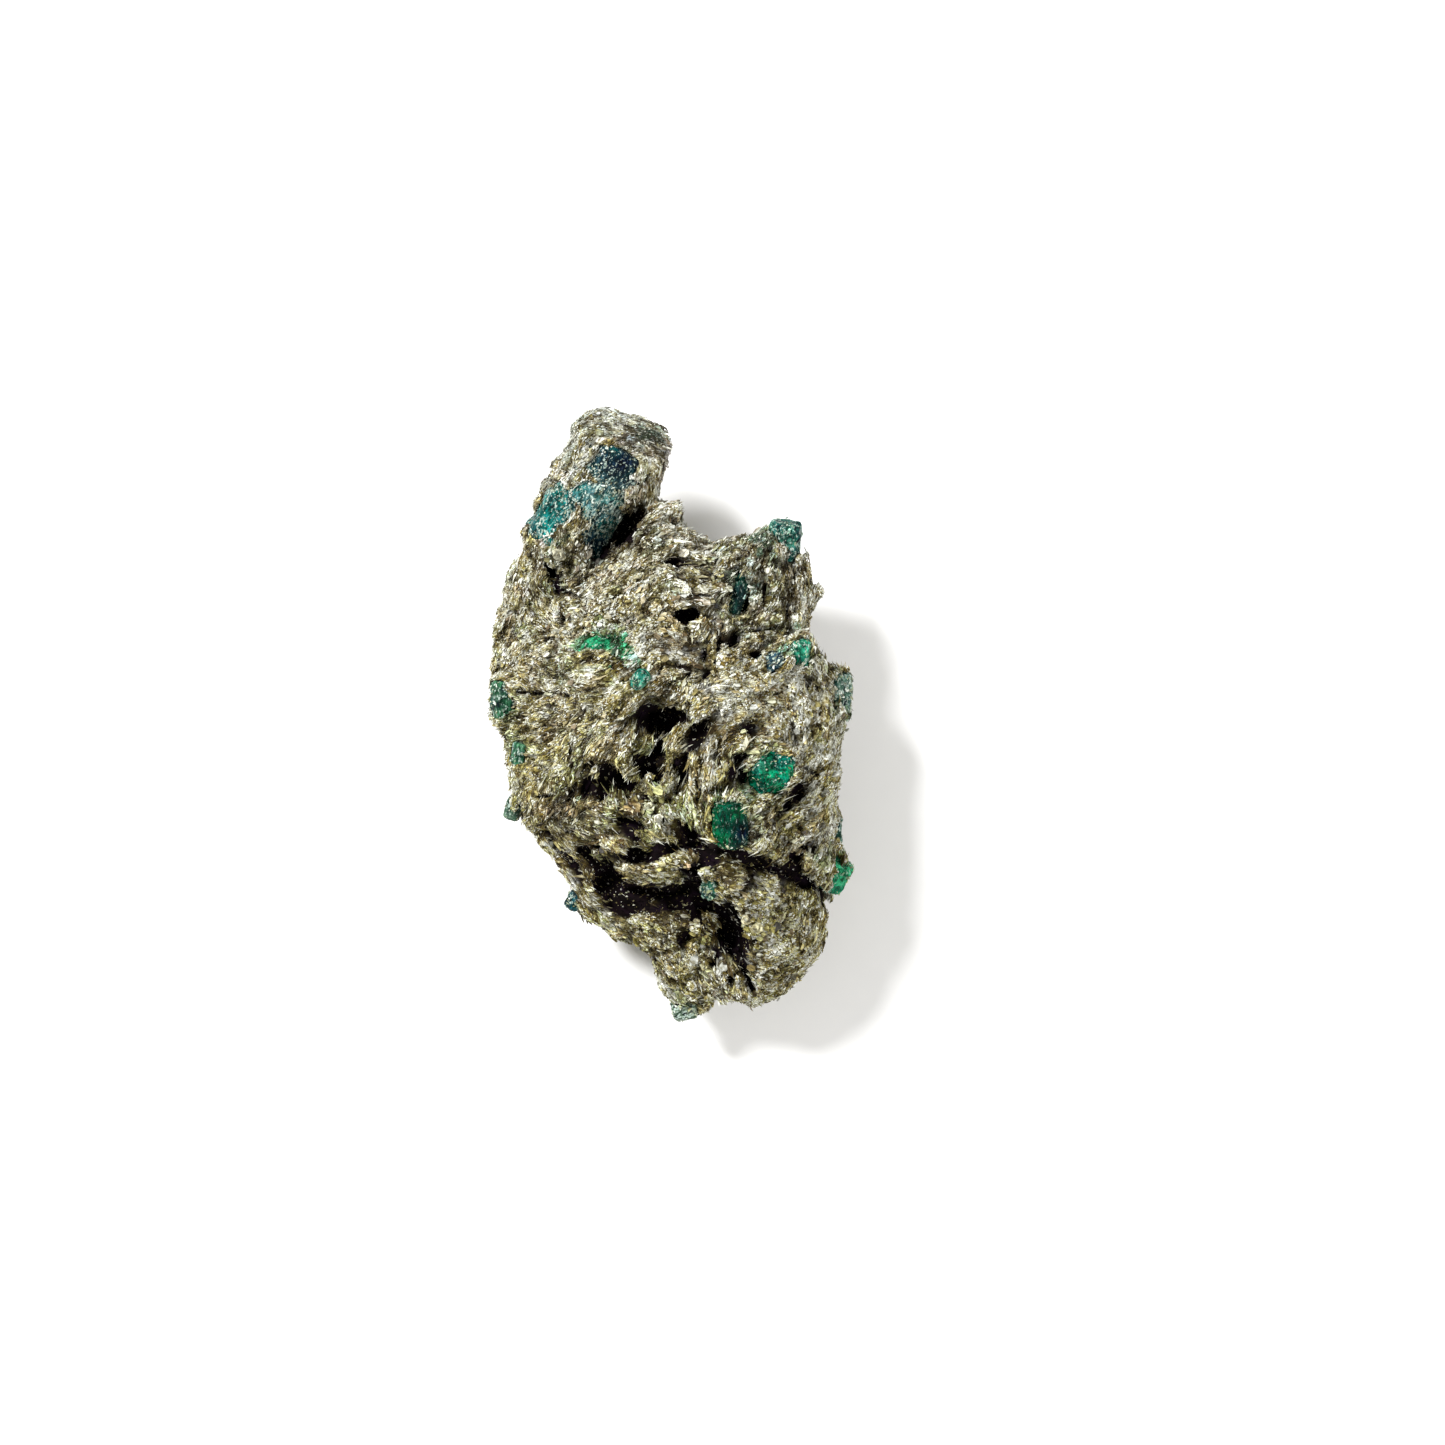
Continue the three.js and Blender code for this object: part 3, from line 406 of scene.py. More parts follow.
# Where the mica is green or blue with beryl, with other stains; the near-black rows below the horn and right of the
# block are painted shade: x, y, half length, half width, heading, colour, strength.
STAINS = [
  [-3.99, 6.22, 1.56, 0.88, -45, [0.02, 0.19, 0.09], 1.0],
  [-2.92, 4.47, 1.56, 0.78, -75, [0.03, 0.17, 0.09], 0.8],
  [-8.07, 7.0, 1.75, 0.78, 15, [0.04, 0.24, 0.12], 0.9],
  [-5.74, 7.2, 1.56, 0.78, -5, [0.03, 0.22, 0.11], 1.0],
  [9.04, 16.82, 1.17, 1.56, 60, [0.02, 0.09, 0.06], 0.75],
  [10.41, 14.78, 1.17, 0.97, 0, [0.03, 0.08, 0.07], 0.6],
  [11.18, 6.22, 1.17, 0.78, 20, [0.04, 0.2, 0.12], 0.6],
  [13.13, 5.06, 0.88, 0.88, -40, [0.03, 0.16, 0.09], 0.7],
  [6.22, -8.36, 1.56, 0.68, 0, [0.16, 0.25, 0.21], 0.6],
  [7.88, -3.7, 1.36, 0.58, 0, [0.1, 0.24, 0.17], 0.5],
  [14.68, -13.42, 0.97, 1.17, 60, [0.06, 0.16, 0.1], 0.6],
  [16.24, 0.78, 0.78, 1.36, 80, [0.06, 0.13, 0.09], 0.6],
  # painted shade in the crevice below the horn, this row and the next
  [-7.1, 15.36, 1.36, 0.97, 30, [0.01, 0.016, 0.022], 0.8],
  [-5.74, 17.41, 0.97, 1.56, 60, [0.008, 0.014, 0.02], 0.7],
  [-10.79, 16.92, 1.17, 0.78, 40, [0.04, 0.13, 0.11], 0.5],
  [-16.05, 0.19, 0.78, 1.17, 80, [0.03, 0.09, 0.05], 0.6],
  [-15.07, -2.72, 0.97, 1.36, 80, [0.07, 0.14, 0.09], 0.5],
  [3.5, -17.7, 0.88, 0.68, 0, [0.04, 0.1, 0.08], 0.6],
  [2.04, -14.98, 0.78, 0.58, 20, [0.03, 0.09, 0.06], 0.5],
  [0.49, -27.81, 1.36, 0.88, 0, [0.1, 0.16, 0.11], 0.6],
  [9.63, 4.86, 1.26, 0.78, -20, [0.05, 0.08, 0.09], 0.6],
  [6.81, 13.03, 0.78, 1.75, 80, [0.02, 0.05, 0.04], 0.6],
  [-8.85, 25.87, 3.31, 4.28, 30, [0.5, 0.54, 0.54], 0.6],
  [-11.96, 22.27, 1.36, 3.89, 60, [0.48, 0.53, 0.52], 0.5],
  [-5.93, 29.37, 3.89, 1.56, -15, [0.5, 0.53, 0.54], 0.6],
  [4.08, -21.1, 1.46, 0.88, -60, [0.46, 0.32, 0.09], 0.75],
  [2.82, -19.84, 1.26, 0.88, 0, [0.26, 0.18, 0.08], 0.6],
  [4.76, -22.76, 1.17, 0.78, -50, [0.44, 0.35, 0.14], 0.5],
  [12.45, -13.23, 1.65, 1.26, -50, [0.58, 0.43, 0.29], 0.65],
  [2.14, -14.2, 1.26, 0.58, 0, [0.34, 0.19, 0.07], 0.65],
  [12.06, -19.25, 1.46, 0.97, 0, [0.54, 0.49, 0.29], 0.55],
  [13.71, -9.82, 1.94, 0.88, 30, [0.52, 0.4, 0.25], 0.5],
  [1.36, 6.03, 2.33, 1.36, -35, [0.62, 0.46, 0.33], 0.6],
  [-1.07, 4.08, 1.56, 0.97, -40, [0.52, 0.37, 0.24], 0.5],
  [-11.67, -8.95, 1.94, 0.88, 0, [0.55, 0.41, 0.27], 0.55],
  [-6.13, -3.11, 2.33, 1.17, 52, [0.46, 0.36, 0.21], 0.5],
  [-3.21, -8.56, 1.17, 0.78, 60, [0.34, 0.2, 0.1], 0.55],
  [-5.74, -12.06, 1.94, 0.78, 0, [0.34, 0.22, 0.11], 0.55],
  [-8.07, -8.95, 1.94, 0.88, 20, [0.36, 0.24, 0.12], 0.5],
  [-10.21, -1.36, 2.14, 0.78, 20, [0.46, 0.4, 0.24], 0.4],
  [-1.85, 14.39, 1.94, 1.17, 50, [0.42, 0.37, 0.22], 0.45],
  [-15.85, 7.2, 0.78, 1.36, 80, [0.46, 0.34, 0.23], 0.5],
  [-3.01, -14.39, 1.56, 0.78, 0, [0.36, 0.26, 0.12], 0.5],
  [0.49, -18.57, 1.36, 0.88, 30, [0.22, 0.17, 0.09], 0.5],
  [-2.04, -22.46, 1.75, 0.78, 30, [0.4, 0.33, 0.17], 0.4],
  [-10.79, 9.34, 1.36, 0.88, 0, [0.5, 0.5, 0.34], 0.4],
  [2.82, 11.09, 1.36, 0.78, 20, [0.24, 0.15, 0.12], 0.5],
  [8.36, -2.72, 0.97, 1.36, 70, [0.3, 0.18, 0.13], 0.45],
  # painted shade on the block's shaded right side
  [7.68, -11.28, 1.07, 1.07, 0, [0.004, 0.006, 0.016], 0.85],
  [-2.43, 26.94, 1.75, 0.97, 0, [0.03, 0.07, 0.055], 0.8],
  [-1.07, 25.87, 1.17, 0.78, -30, [0.05, 0.05, 0.06], 0.6],
  [7.1, 12.64, 1.26, 1.94, 80, [0.03, 0.045, 0.032], 0.6],
  [8.27, 10.7, 1.17, 0.97, 60, [0.04, 0.05, 0.04], 0.5],
]
# Where the mica is crumbly rather than streaky: x, y, half length, half width, how much.
GRANULAR = [
  [-4.47, 8.95, 6.81, 3.31, 0.7],
  [7.2, 7.2, 3.89, 3.89, 0.5],
  [0.88, -15.36, 5.83, 2.72, 0.6],
  [9.14, -20.23, 4.38, 4.47, 1.0],
  [0.88, -22.95, 4.86, 4.08, 0.9],
  [-1.56, -8.85, 2.14, 1.75, 0.8],
  [7.68, 2.33, 3.89, 2.72, 0.5],
  [11.57, -11.47, 2.92, 2.33, 0.8],
  [-9.82, 14.98, 1.94, 1.56, 0.8],
  [6.22, 13.52, 2.43, 3.89, 0.6],
  [-3.01, 14.98, 5.83, 2.92, 0.6],
  [10.11, 12.06, 2.92, 4.38, 0.6],
  [2.82, 5.25, 5.83, 2.33, 0.6],
  [11.57, -0.58, 3.89, 3.5, 0.6],
  [12.54, -15.17, 2.33, 2.33, 0.6],
]
# Where the rock is painted paler or darker: partly fresher or more stained rock, partly painted light on the right side
# that the key light leaves in shade, and painted light and shade over some hollows: x, y, half length, half width, how
# much paler.
SHADES = [
  [-2.24, 27.03, 2.33, 1.75, -1.0],
  [-9.43, 23.73, 1.94, 1.56, -0.35],
  [-1.56, 17.21, 1.46, 1.56, -1.0],
  [-8.85, 13.03, 2.92, 2.14, -0.75],
  [-10.6, 10.11, 1.75, 2.33, -0.35],
  [-7.68, -3.5, 1.75, 1.94, -0.6],
  [-7.1, 2.92, 1.94, 1.36, -0.5],
  [-11.18, 2.33, 3.31, 1.36, -0.3],
  [-9.34, -7.88, 3.31, 2.53, -0.55],
  [0.88, -9.14, 4.28, 1.94, -0.6],
  [1.36, -0.19, 1.36, 1.36, -0.7],
  [1.65, 3.11, 1.17, 0.97, -1.1],
  [-1.56, -3.31, 1.75, 1.36, -0.6],
  [7.2, 14.49, 1.56, 1.36, -0.5],
  [1.85, 9.14, 1.94, 1.17, -0.4],
  [7.2, 9.14, 1.56, 1.36, -0.3],
  [10.11, -8.95, 1.56, 0.97, -0.6],
  [-1.26, 20.32, 1.36, 1.56, 0.8],
  [0.68, 17.89, 1.17, 1.17, 0.5],
  [1.85, 15.75, 1.94, 2.53, 0.35],
  [12.54, 13.81, 1.75, 2.92, 0.5],
  [-1.56, 5.06, 2.14, 1.75, 0.6],
  [1.85, 5.74, 1.56, 1.17, 0.9],
  [6.22, 0.88, 3.5, 2.53, 0.9],
  [1.85, -2.04, 2.33, 1.36, 0.4],
  [11.57, -4.67, 1.36, 1.75, 0.7],
  [9.63, 12.25, 1.36, 1.36, 0.5],
  [0.1, -10.5, 1.36, 1.17, 0.5],
  [13.03, 2.82, 2.14, 1.56, 0.8],
  [14.68, -5.45, 2.53, 9.24, 0.75],
  [3.6, -4.67, 1.36, 2.92, 0.4],
  [4.76, 1.36, 1.94, 1.94, 0.3],
  [10.6, -1.07, 2.92, 2.92, 0.2],
  [8.65, -21.78, 3.11, 3.11, 0.95],
  [6.71, -17.89, 1.94, 1.17, 0.4],
  [1.85, -23.44, 3.31, 1.56, 0.35],
  [-4.47, -20.52, 2.53, 1.36, 0.4],
  [-10.79, -14.39, 1.75, 1.56, 0.6],
  [12.54, -15.36, 2.53, 1.75, 0.4],
  [-14.2, 8.65, 2.33, 1.36, 0.3],
  [-6.9, 8.95, 3.31, 1.17, 0.35],
  [4.28, 9.92, 1.36, 0.97, 0.5],
  [-13.23, -11.28, 1.56, 1.17, 0.3],
  [11.57, -25.38, 2.53, 1.94, 0.3],
  [-1.56, 7.0, 2.53, 1.36, 0.45],
  [9.63, 4.08, 3.31, 1.75, 0.35],
  [8.85, 12.84, 1.56, 1.36, 0.6],
  [-3.01, 12.84, 1.56, 1.17, 0.4],
  [-0.1, 17.31, 1.36, 1.94, 0.4],
  [11.57, -13.42, 1.36, 1.17, 0.4],
  [8.65, -19.06, 1.94, 1.36, 0.4],
  [5.74, -21.98, 1.17, 1.36, 0.5],
  [8.85, -25.09, 1.56, 0.97, 0.4],
  [-8.85, -1.56, 1.36, 1.17, -0.3],
  [-7.68, -7.59, 2.14, 1.17, -0.4],
  [-3.01, -10.11, 1.17, 1.17, -0.6],
  [-9.14, 4.47, 2.72, 1.17, -0.6],
  [-7.88, -2.33, 2.53, 1.36, -0.4],
  [-9.82, 14.98, 2.14, 1.56, -0.4],
  [-0.1, 10.5, 1.56, 1.17, -0.5],
  [-0.1, 4.08, 1.36, 1.17, -0.6],
  [7.2, -10.5, 1.94, 1.17, -0.5],
  [-4.47, -21.98, 1.94, 1.17, -0.3],
  [-3.01, -7.39, 1.56, 1.17, -0.3],
  [-5.74, 30.15, 2.33, 1.17, -0.4],
  [-2.72, 18.87, 1.36, 1.17, -0.6],
  [-8.85, 15.36, 1.56, 1.17, -0.6],
  [-10.6, 12.84, 2.33, 1.17, -0.4],
  [11.57, 4.08, 1.75, 1.36, 0.6],
  [7.2, 4.47, 2.33, 1.17, 0.4],
  [5.54, 1.36, 1.56, 1.17, 0.6],
  [13.03, 0.88, 2.33, 1.36, 0.4],
  [2.82, 1.17, 1.36, 0.97, 0.5],
  [-10.31, 4.08, 3.31, 1.36, -0.25],
  [-8.36, -7.39, 2.72, 1.36, -0.45],
  [6.71, 13.03, 1.56, 2.53, -0.9],
  [-14.68, 12.06, 1.36, 1.94, 0.4],
  [-3.01, 13.03, 1.36, 1.36, 0.5],
  [-3.01, 6.71, 1.56, 1.36, 0.5],
  [-0.1, 27.62, 1.17, 1.17, -0.5],
  [-3.01, 27.03, 1.36, 1.17, -0.5],
  [-8.46, 22.76, 1.17, 1.17, -0.4],
  [-3.01, 18.87, 1.17, 1.17, -0.5],
  [-0.1, 4.08, 1.36, 1.17, -0.4],
  [11.57, 4.08, 1.36, 1.36, 0.7],
  [2.82, 0.97, 1.36, 1.17, 0.5],
  [5.74, 1.36, 1.17, 1.17, 0.5],
  [-0.1, 7.0, 1.36, 1.17, 0.6],
  [8.46, 12.84, 1.17, 1.36, 0.6],
  [11.77, 12.45, 1.17, 1.36, -0.4],
  [-11.77, -13.23, 1.36, 1.17, 0.5],
  [-0.1, -10.5, 1.17, 1.17, 0.5],
  [-8.85, -8.36, 1.75, 1.94, -0.5],
  [-5.93, -7.97, 1.36, 1.36, -0.6],
  [-3.01, -7.97, 1.17, 1.36, -0.5],
  [-3.01, -10.89, 1.17, 1.17, -0.5],
  [-11.77, 4.28, 2.33, 1.17, -0.3],
  [5.74, -21.98, 1.17, 1.17, 0.7],
  [2.82, -10.79, 1.17, 1.17, -0.5],
  [-0.1, -22.46, 1.17, 1.17, -0.5],
  [11.57, -4.67, 1.36, 1.36, 0.5],
]
# Large books of mica: x, y, radius.
ROSETTES = [
  [7.2, -19.84, 0.53],
  [8.46, -20.62, 0.68],
  [9.72, -21.1, 0.49],
  [6.42, -18.57, 0.49],
  [-1.94, -8.27, 0.58],
  [-0.68, -9.53, 0.49],
  [-10.41, 15.46, 0.68],
]
# The outline let out or taken in: x, y, by how much, over what reach.
TRIM = [
  [-15.85, 12.54, 1.3, 2.4],
  [-14.59, -11.77, -0.9, 1.8],
  [-9.04, 29.56, -0.6, 1.6],
  [-4.38, 29.56, 0.5, 1.4],
  [15.66, 6.42, -1.1, 1.8],
  [2.04, 20.03, -1.0, 1.3],
  [7.2, -28.78, -0.5, 3.2],
  [-10.7, 26.65, -0.4, 1.6],
  [16.43, 4.86, 0.5, 1.5],
  [16.73, -0.19, 0.4, 1.5],
  [-17.02, 4.28, 0.5, 1.4],
  [-16.63, -0.78, 0.4, 1.4],
  [16.73, -13.32, 0.5, 1.5],
  [0.49, 25.48, -0.6, 2.0],
  [-2.53, -23.92, -0.5, 1.4],
]
# Where bundles of mica have fallen out: x, y, half length, half width, share of them.
PITTING = [
  [-0.88, -3.01, 4.38, 4.86, 1.0],
  [-5.74, -7.39, 4.67, 3.5, 1.0],
  [-3.01, -13.23, 9.72, 2.33, 1.0],
  [3.31, -18.57, 2.53, 4.38, 0.95],
  [-6.9, -15.36, 3.89, 1.75, 0.9],
  [2.82, 9.53, 4.28, 1.94, 0.22],
  [6.71, 11.09, 1.36, 3.89, 0.7],
  [-4.76, 19.35, 1.36, 3.31, 1.0],
  [2.53, 6.03, 1.36, 1.36, 0.6],
  [-13.23, 2.82, 3.31, 0.97, 0.6],
  [-1.07, -22.95, 5.83, 2.92, 0.25],
  [7.2, -5.45, 1.36, 2.14, 1.0],
  [11.77, -9.72, 2.14, 2.14, 0.4],
  [7.88, 7.2, 1.56, 1.17, 0.7],
  [-11.77, 14.0, 1.56, 1.36, 0.6],
  [4.96, -23.44, 3.89, 2.14, 0.35],
  [1.65, 1.94, 2.33, 2.14, 0.6],
  [-10.31, 12.06, 2.92, 2.53, 0.35],
  [-14.68, -14.2, 3.31, 1.75, 0.3],
  [9.14, -21.0, 3.89, 3.89, 0.15],
  [2.82, 14.98, 2.92, 1.94, 0.3],
  [6.22, 2.33, 4.86, 2.53, 0.06],
  [12.54, -14.68, 2.92, 1.56, 0.7],
  [-12.74, -8.36, 4.86, 2.33, 0.25],
  [-4.47, 27.62, 4.86, 1.56, 0.15],
  [1.85, -7.39, 1.56, 4.28, 0.8],
  [-9.34, 1.36, 5.83, 2.92, 0.18],
  [-3.01, -18.09, 5.83, 1.75, 0.9],
]
# Where a crystal shows through the mica on it: crystal, x, y, half length, half width, heading.
WINDOWS = [
  ["emerald_horn", -12.16, 19.64, 2.43, 2.43, 35],
  ["emerald_horn", -4.57, 23.73, 2.33, 2.43, 0],
  ["emerald_horn", -8.27, 21.39, 1.36, 0.88, 20],
  ["emerald_horn", -6.32, 19.84, 1.94, 1.56, 60],
  ["emerald_horn", -7.1, 16.43, 1.07, 1.75, 0],
  ["emerald_arch", -9.34, 6.71, 1.85, 0.58, 18],
  ["emerald_arch", -6.61, 7.2, 2.43, 0.58, -4],
  ["emerald_arch", -4.08, 6.22, 0.97, 0.68, -40],
  ["emerald_arch", -3.21, 4.57, 0.49, 1.46, 0],
  ["emerald_round", 9.53, -5.45, 1.94, 2.04, 0],
  ["emerald_block", 5.74, -10.02, 1.85, 2.14, 0],
  ["emerald_nub", 10.6, 17.31, 2.72, 2.72, 0],
  ["emerald_left_rim", -16.63, 1.65, 0.97, 1.46, 0],
  ["emerald_notch", 12.45, 6.03, 0.97, 1.17, 0],
  ["emerald_left_low", -14.59, -3.7, 0.78, 0.97, 0],
  ["emerald_cleft", 3.89, -16.14, 0.78, 0.88, 0],
  ["emerald_right_edge", 16.73, 2.33, 0.88, 1.75, 0],
  ["emerald_right_rim", 15.36, -15.27, 1.75, 1.75, 0],
  ["emerald_side", 15.85, -10.99, 0.58, 0.97, 0],
  ["emerald_blue", 9.72, 5.15, 1.07, 0.88, 0],
  ["emerald_dark", 6.52, 11.86, 0.68, 1.75, 0],
]
# Zones of other colour in the crystals; the dark zones along the horn's base and on the block's right face are painted
# shade: x, y, half length, half width, colour, strength.
CRYSTAL_ZONES = [
  # navy: partly the crystal's own colour, partly painted shade on the horn's right side
  [-4.76, 24.12, 2.72, 2.14, [0.0005, 0.0015, 0.012, 0.12], 0.98],
  # painted shade in the crevice along the horn's right base
  [-3.01, 20.81, 1.56, 2.53, [0.01, 0.018, 0.02, 0.7], 0.95],
  [-6.52, 20.81, 1.94, 1.94, [0.05, 0.1, 0.09, 0.75], 0.6],
  # painted shade in the crevice below the horn
  [-6.9, 16.43, 2.33, 1.75, [0.002, 0.007, 0.014, 0.25], 0.95],
  [-11.77, 19.35, 1.85, 1.46, [0.0003, 0.09, 0.077, 0.18], 0.97],
  [-9.14, 21.78, 1.56, 1.36, [0.02, 0.12, 0.105, 1.0], 0.5],
  # painted shade on the block's shaded right face
  [6.9, -10.99, 1.36, 1.85, [0.0005, 0.0015, 0.009, 0.0], 1.0],
  [8.65, -4.47, 0.88, 0.68, [0.03, 0.17, 0.12, 0.7], 0.6],
  [10.02, -6.61, 0.88, 0.78, [0.0, 0.14, 0.05, 0.2], 0.7],
]

rad = math.radians


# ---------------------------------------------------------------- noise


def lattice(ix, iy, iz, seed):
    """Repeatable random numbers from 0 to 1 at lattice points."""
    with np.errstate(over="ignore"):
        h = (
            (ix.astype(np.int64) & 0xFFFFFFFF).astype(np.uint32) * np.uint32(0x8DA6B343)
            ^ (iy.astype(np.int64) & 0xFFFFFFFF).astype(np.uint32) * np.uint32(0xD8163841)
            ^ (iz.astype(np.int64) & 0xFFFFFFFF).astype(np.uint32) * np.uint32(0xCB1AB31F)
            ^ np.uint32((seed * 0x9E3779B1) & 0xFFFFFFFF)
        )
        h ^= h >> np.uint32(15)
        h *= np.uint32(0x85EBCA6B)
        h ^= h >> np.uint32(13)
        h *= np.uint32(0xC2B2AE35)
        h ^= h >> np.uint32(16)
    return h.astype(np.float32) / np.float32(4294967295.0)


def noise(x, y, z, seed):
    """Smooth noise from -1 to 1."""
    x, y, z = np.broadcast_arrays(x, y, z)
    fx, fy, fz = np.floor(x), np.floor(y), np.floor(z)
    ease = lambda t: t * t * t * (t * (t * 6 - 15) + 10)
    u, v, w = (ease((a - b).astype(np.float32)) for a, b in ((x, fx), (y, fy), (z, fz)))
    total = 0
    for k in range(8):
        a, b, c = k & 1, (k >> 1) & 1, k >> 2
        total = total + (u if a else 1 - u) * (v if b else 1 - v) * (w if c else 1 - w) * lattice(fx + a, fy + b, fz + c, seed)
    return 2 * total - 1


def smoothstep(x, a, b):
    t = np.clip((x - a) / (b - a), 0, 1)
    return t * t * (3 - 2 * t)


# ---------------------------------------------------------------- the rock's shape


def segment_distance(x, y, ax, ay, bx, by):
    dx, dy = bx - ax, by - ay
    t = np.clip(((x - ax) * dx + (y - ay) * dy) / (dx * dx + dy * dy), 0, 1)
    return np.hypot(x - ax - t * dx, y - ay - t * dy)


def inside_by(x, y):
    """Distance to the outline in plan, positive inside."""
    least = np.full(x.shape, 1e9)
    inside = np.zeros(x.shape, bool)
    for i in range(len(OUTLINE)):
        ax, ay = OUTLINE[i - 1]
        bx, by = OUTLINE[i]
        least = np.minimum(least, segment_distance(x, y, ax, ay, bx, by))
        if ay != by:
            crosses = (ay > y) != (by > y)
            inside ^= crosses & (x < ax + (y - ay) * (bx - ax) / (by - ay))
    return np.where(inside, least, -least)


def ellipse(x, y, row):
    c, s = math.cos(rad(row[4])), math.sin(rad(row[4]))
    u = ((x - row[0]) * c + (y - row[1]) * s) / row[2]
    v = ((y - row[1]) * c - (x - row[0]) * s) / row[3]
    return u * u + v * v


def polyline_distance(x, y, points):
    return np.minimum.reduce([segment_distance(x, y, *p, *q) for p, q in zip(points, points[1:])])


def body_at(x, y):
    total = np.zeros((4,) + x.shape)
    weight = 0
    for row in BODY:
        w = 1 / ((x - row[0]) ** 2 + (y - row[1]) ** 2 + 4) ** 2
        weight = weight + w
        for k in range(4):
            total[k] += w * row[2 + k]
    return total / weight


def plain_rock(x, y, z):
    """The rock without its hollows. x and y are (n, m, 1), z is (1, 1, l). Returns the field, the nominal top and the distance to the outline."""
    d = inside_by(x, y) + 0.06 + 0.10 * smoothstep(y, 18, 27) - 0.30 * smoothstep(x, 4, 12)
    d = d + sum(out * np.exp(-((x - tx) ** 2 + (y - ty) ** 2) / reach**2) for tx, ty, out, reach in TRIM)
    rim, rise, drop, rnd = body_at(x, y)
    mound = sum(m[5] * np.exp(-ellipse(x, y, m)) for m in MOUNDS)
    rise = rise + mound
    top = rim + rise * np.sqrt(1 - (1 - np.clip(d / rnd, 0, 1)) ** 3)
    up = z - rim
    blend = smoothstep(up, -2.5, 2.5)
    reach = rnd * (1.45 - 0.45 * blend)
    high = drop + (rise - drop) * blend
    u = np.maximum(0, 1 - d / reach) ** 1.5
    f = (1 - np.sqrt(u * u + (up / high) ** 2)) * np.minimum(high, reach * 0.8)
    for heading, face, away in BREAKS:
        side = math.cos(rad(face))
        left = away - x * (math.cos(rad(heading)) * side) - y * (math.sin(rad(heading)) * side) - (z - 9) * math.sin(rad(face))
        near = np.maximum(0, 1 - np.abs(f - left) / 1.6)
        f = np.minimum(f, left) - near * near * 0.4
    edge = 0.35 + 0.65 * np.clip(d / 2.5, 0, 1)
    for k, (wave, height) in enumerate(GRAIN):
        f = f + height * noise(x / wave, y / wave, z / wave, 11 + k) * edge
    return f.astype(np.float32), top, d


def wide_hollows(x, y, z, f, top):
    for e2, depth in [(ellipse(x, y, p), p[5]) for p in PITS] + [
        ((polyline_distance(x, y, points) / half) ** 2, depth) for half, depth, points in CRACKS
    ]:
        mouth = smoothstep(z, top - 1.7 * depth, top - 0.7 * depth)
        f = f - (depth * np.where(e2 < 4.84, np.exp(-e2), 0) * mouth).astype(np.float32)
    return f


def surface_net(f, low, cell):
    """A closed mesh of f = 0: one vertex in each lattice cell that the surface passes through."""
    f = f.copy()
    for _ in range(12):  # alternating corners on a lattice face would pinch the mesh: the shallower outside corner is filled
        s = f > 0
        found = 0
        for a, b in ((0, 1), (0, 2), (1, 2)):
            def part(i, j):
                k = [slice(None)] * 3
                k[a] = slice(1, None) if i else slice(None, -1)
                k[b] = slice(1, None) if j else slice(None, -1)
                return tuple(k)
            s00, s10, s01, s11 = (s[part(i, j)] for i, j in ((0, 0), (1, 0), (0, 1), (1, 1)))
            for bad, first, second in (
                ((s00 & s11 & ~s10 & ~s01), (1, 0), (0, 1)),
                ((s10 & s01 & ~s00 & ~s11), (0, 0), (1, 1)),
            ):
                if bad.any():
                    found += int(bad.sum())
                    v1, v2 = f[part(*first)], f[part(*second)]
                    pick = v1 > v2
                    v1[bad & pick] = 0.02
                    v2[bad & ~pick] = 0.02
        if not found:
            break
    s = f > 0
    corners = lambda arr, i, j, k: arr[i : arr.shape[0] - 1 + i, j : arr.shape[1] - 1 + j, k : arr.shape[2] - 1 + k]
    count = sum(corners(s, i, j, k).astype(np.int8) for i in (0, 1) for j in (0, 1) for k in (0, 1))
    mixed = (count > 0) & (count < 8)
    cells = np.argwhere(mixed)
    index = np.full(mixed.shape, -1, np.int64)
    index[mixed] = np.arange(len(cells))
    total = np.zeros((len(cells), 3))
    hits = np.zeros(len(cells))
    for q in range(8):
        for axis in range(3):
            if (q >> axis) & 1:
                continue
            r = q | (1 << axis)
            a = np.array([q & 1, (q >> 1) & 1, q >> 2])
            b = np.array([r & 1, (r >> 1) & 1, r >> 2])
            va = f[tuple((cells + a).T)]
            vb = f[tuple((cells + b).T)]
            cross = (va > 0) != (vb > 0)
            t = np.clip(va / np.where(cross, va - vb, 1), 0.03, 0.97)
            p = np.repeat(a[None].astype(float), len(cells), 0)
            p[:, axis] += t
            total += p * cross[:, None]
            hits += cross
    verts = low + (cells + total / hits[:, None]) * cell
    quads = []
    for axis in range(3):
        lo_, hi_ = [slice(None)] * 3, [slice(None)] * 3
        lo_[axis], hi_[axis] = slice(None, -1), slice(1, None)
        sa, sb = s[tuple(lo_)], s[tuple(hi_)]
        at = np.argwhere(sa != sb)
        u, v = np.zeros(3, int), np.zeros(3, int)
        u[(axis + 1) % 3] = 1
        v[(axis + 2) % 3] = 1
        at = at[((at[:, (axis + 1) % 3] > 0) & (at[:, (axis + 2) % 3] > 0))]
        at = at[(at[:, (axis + 1) % 3] < mixed.shape[(axis + 1) % 3]) & (at[:, (axis + 2) % 3] < mixed.shape[(axis + 2) % 3])]
        ring = np.stack([index[tuple((at - o).T)] for o in (0 * u, u, u + v, v)], 1)
        flip = s[tuple(at.T)]
        ring[flip] = ring[flip][:, ::-1]
        quads.append(ring)
    return verts, np.concatenate(quads)


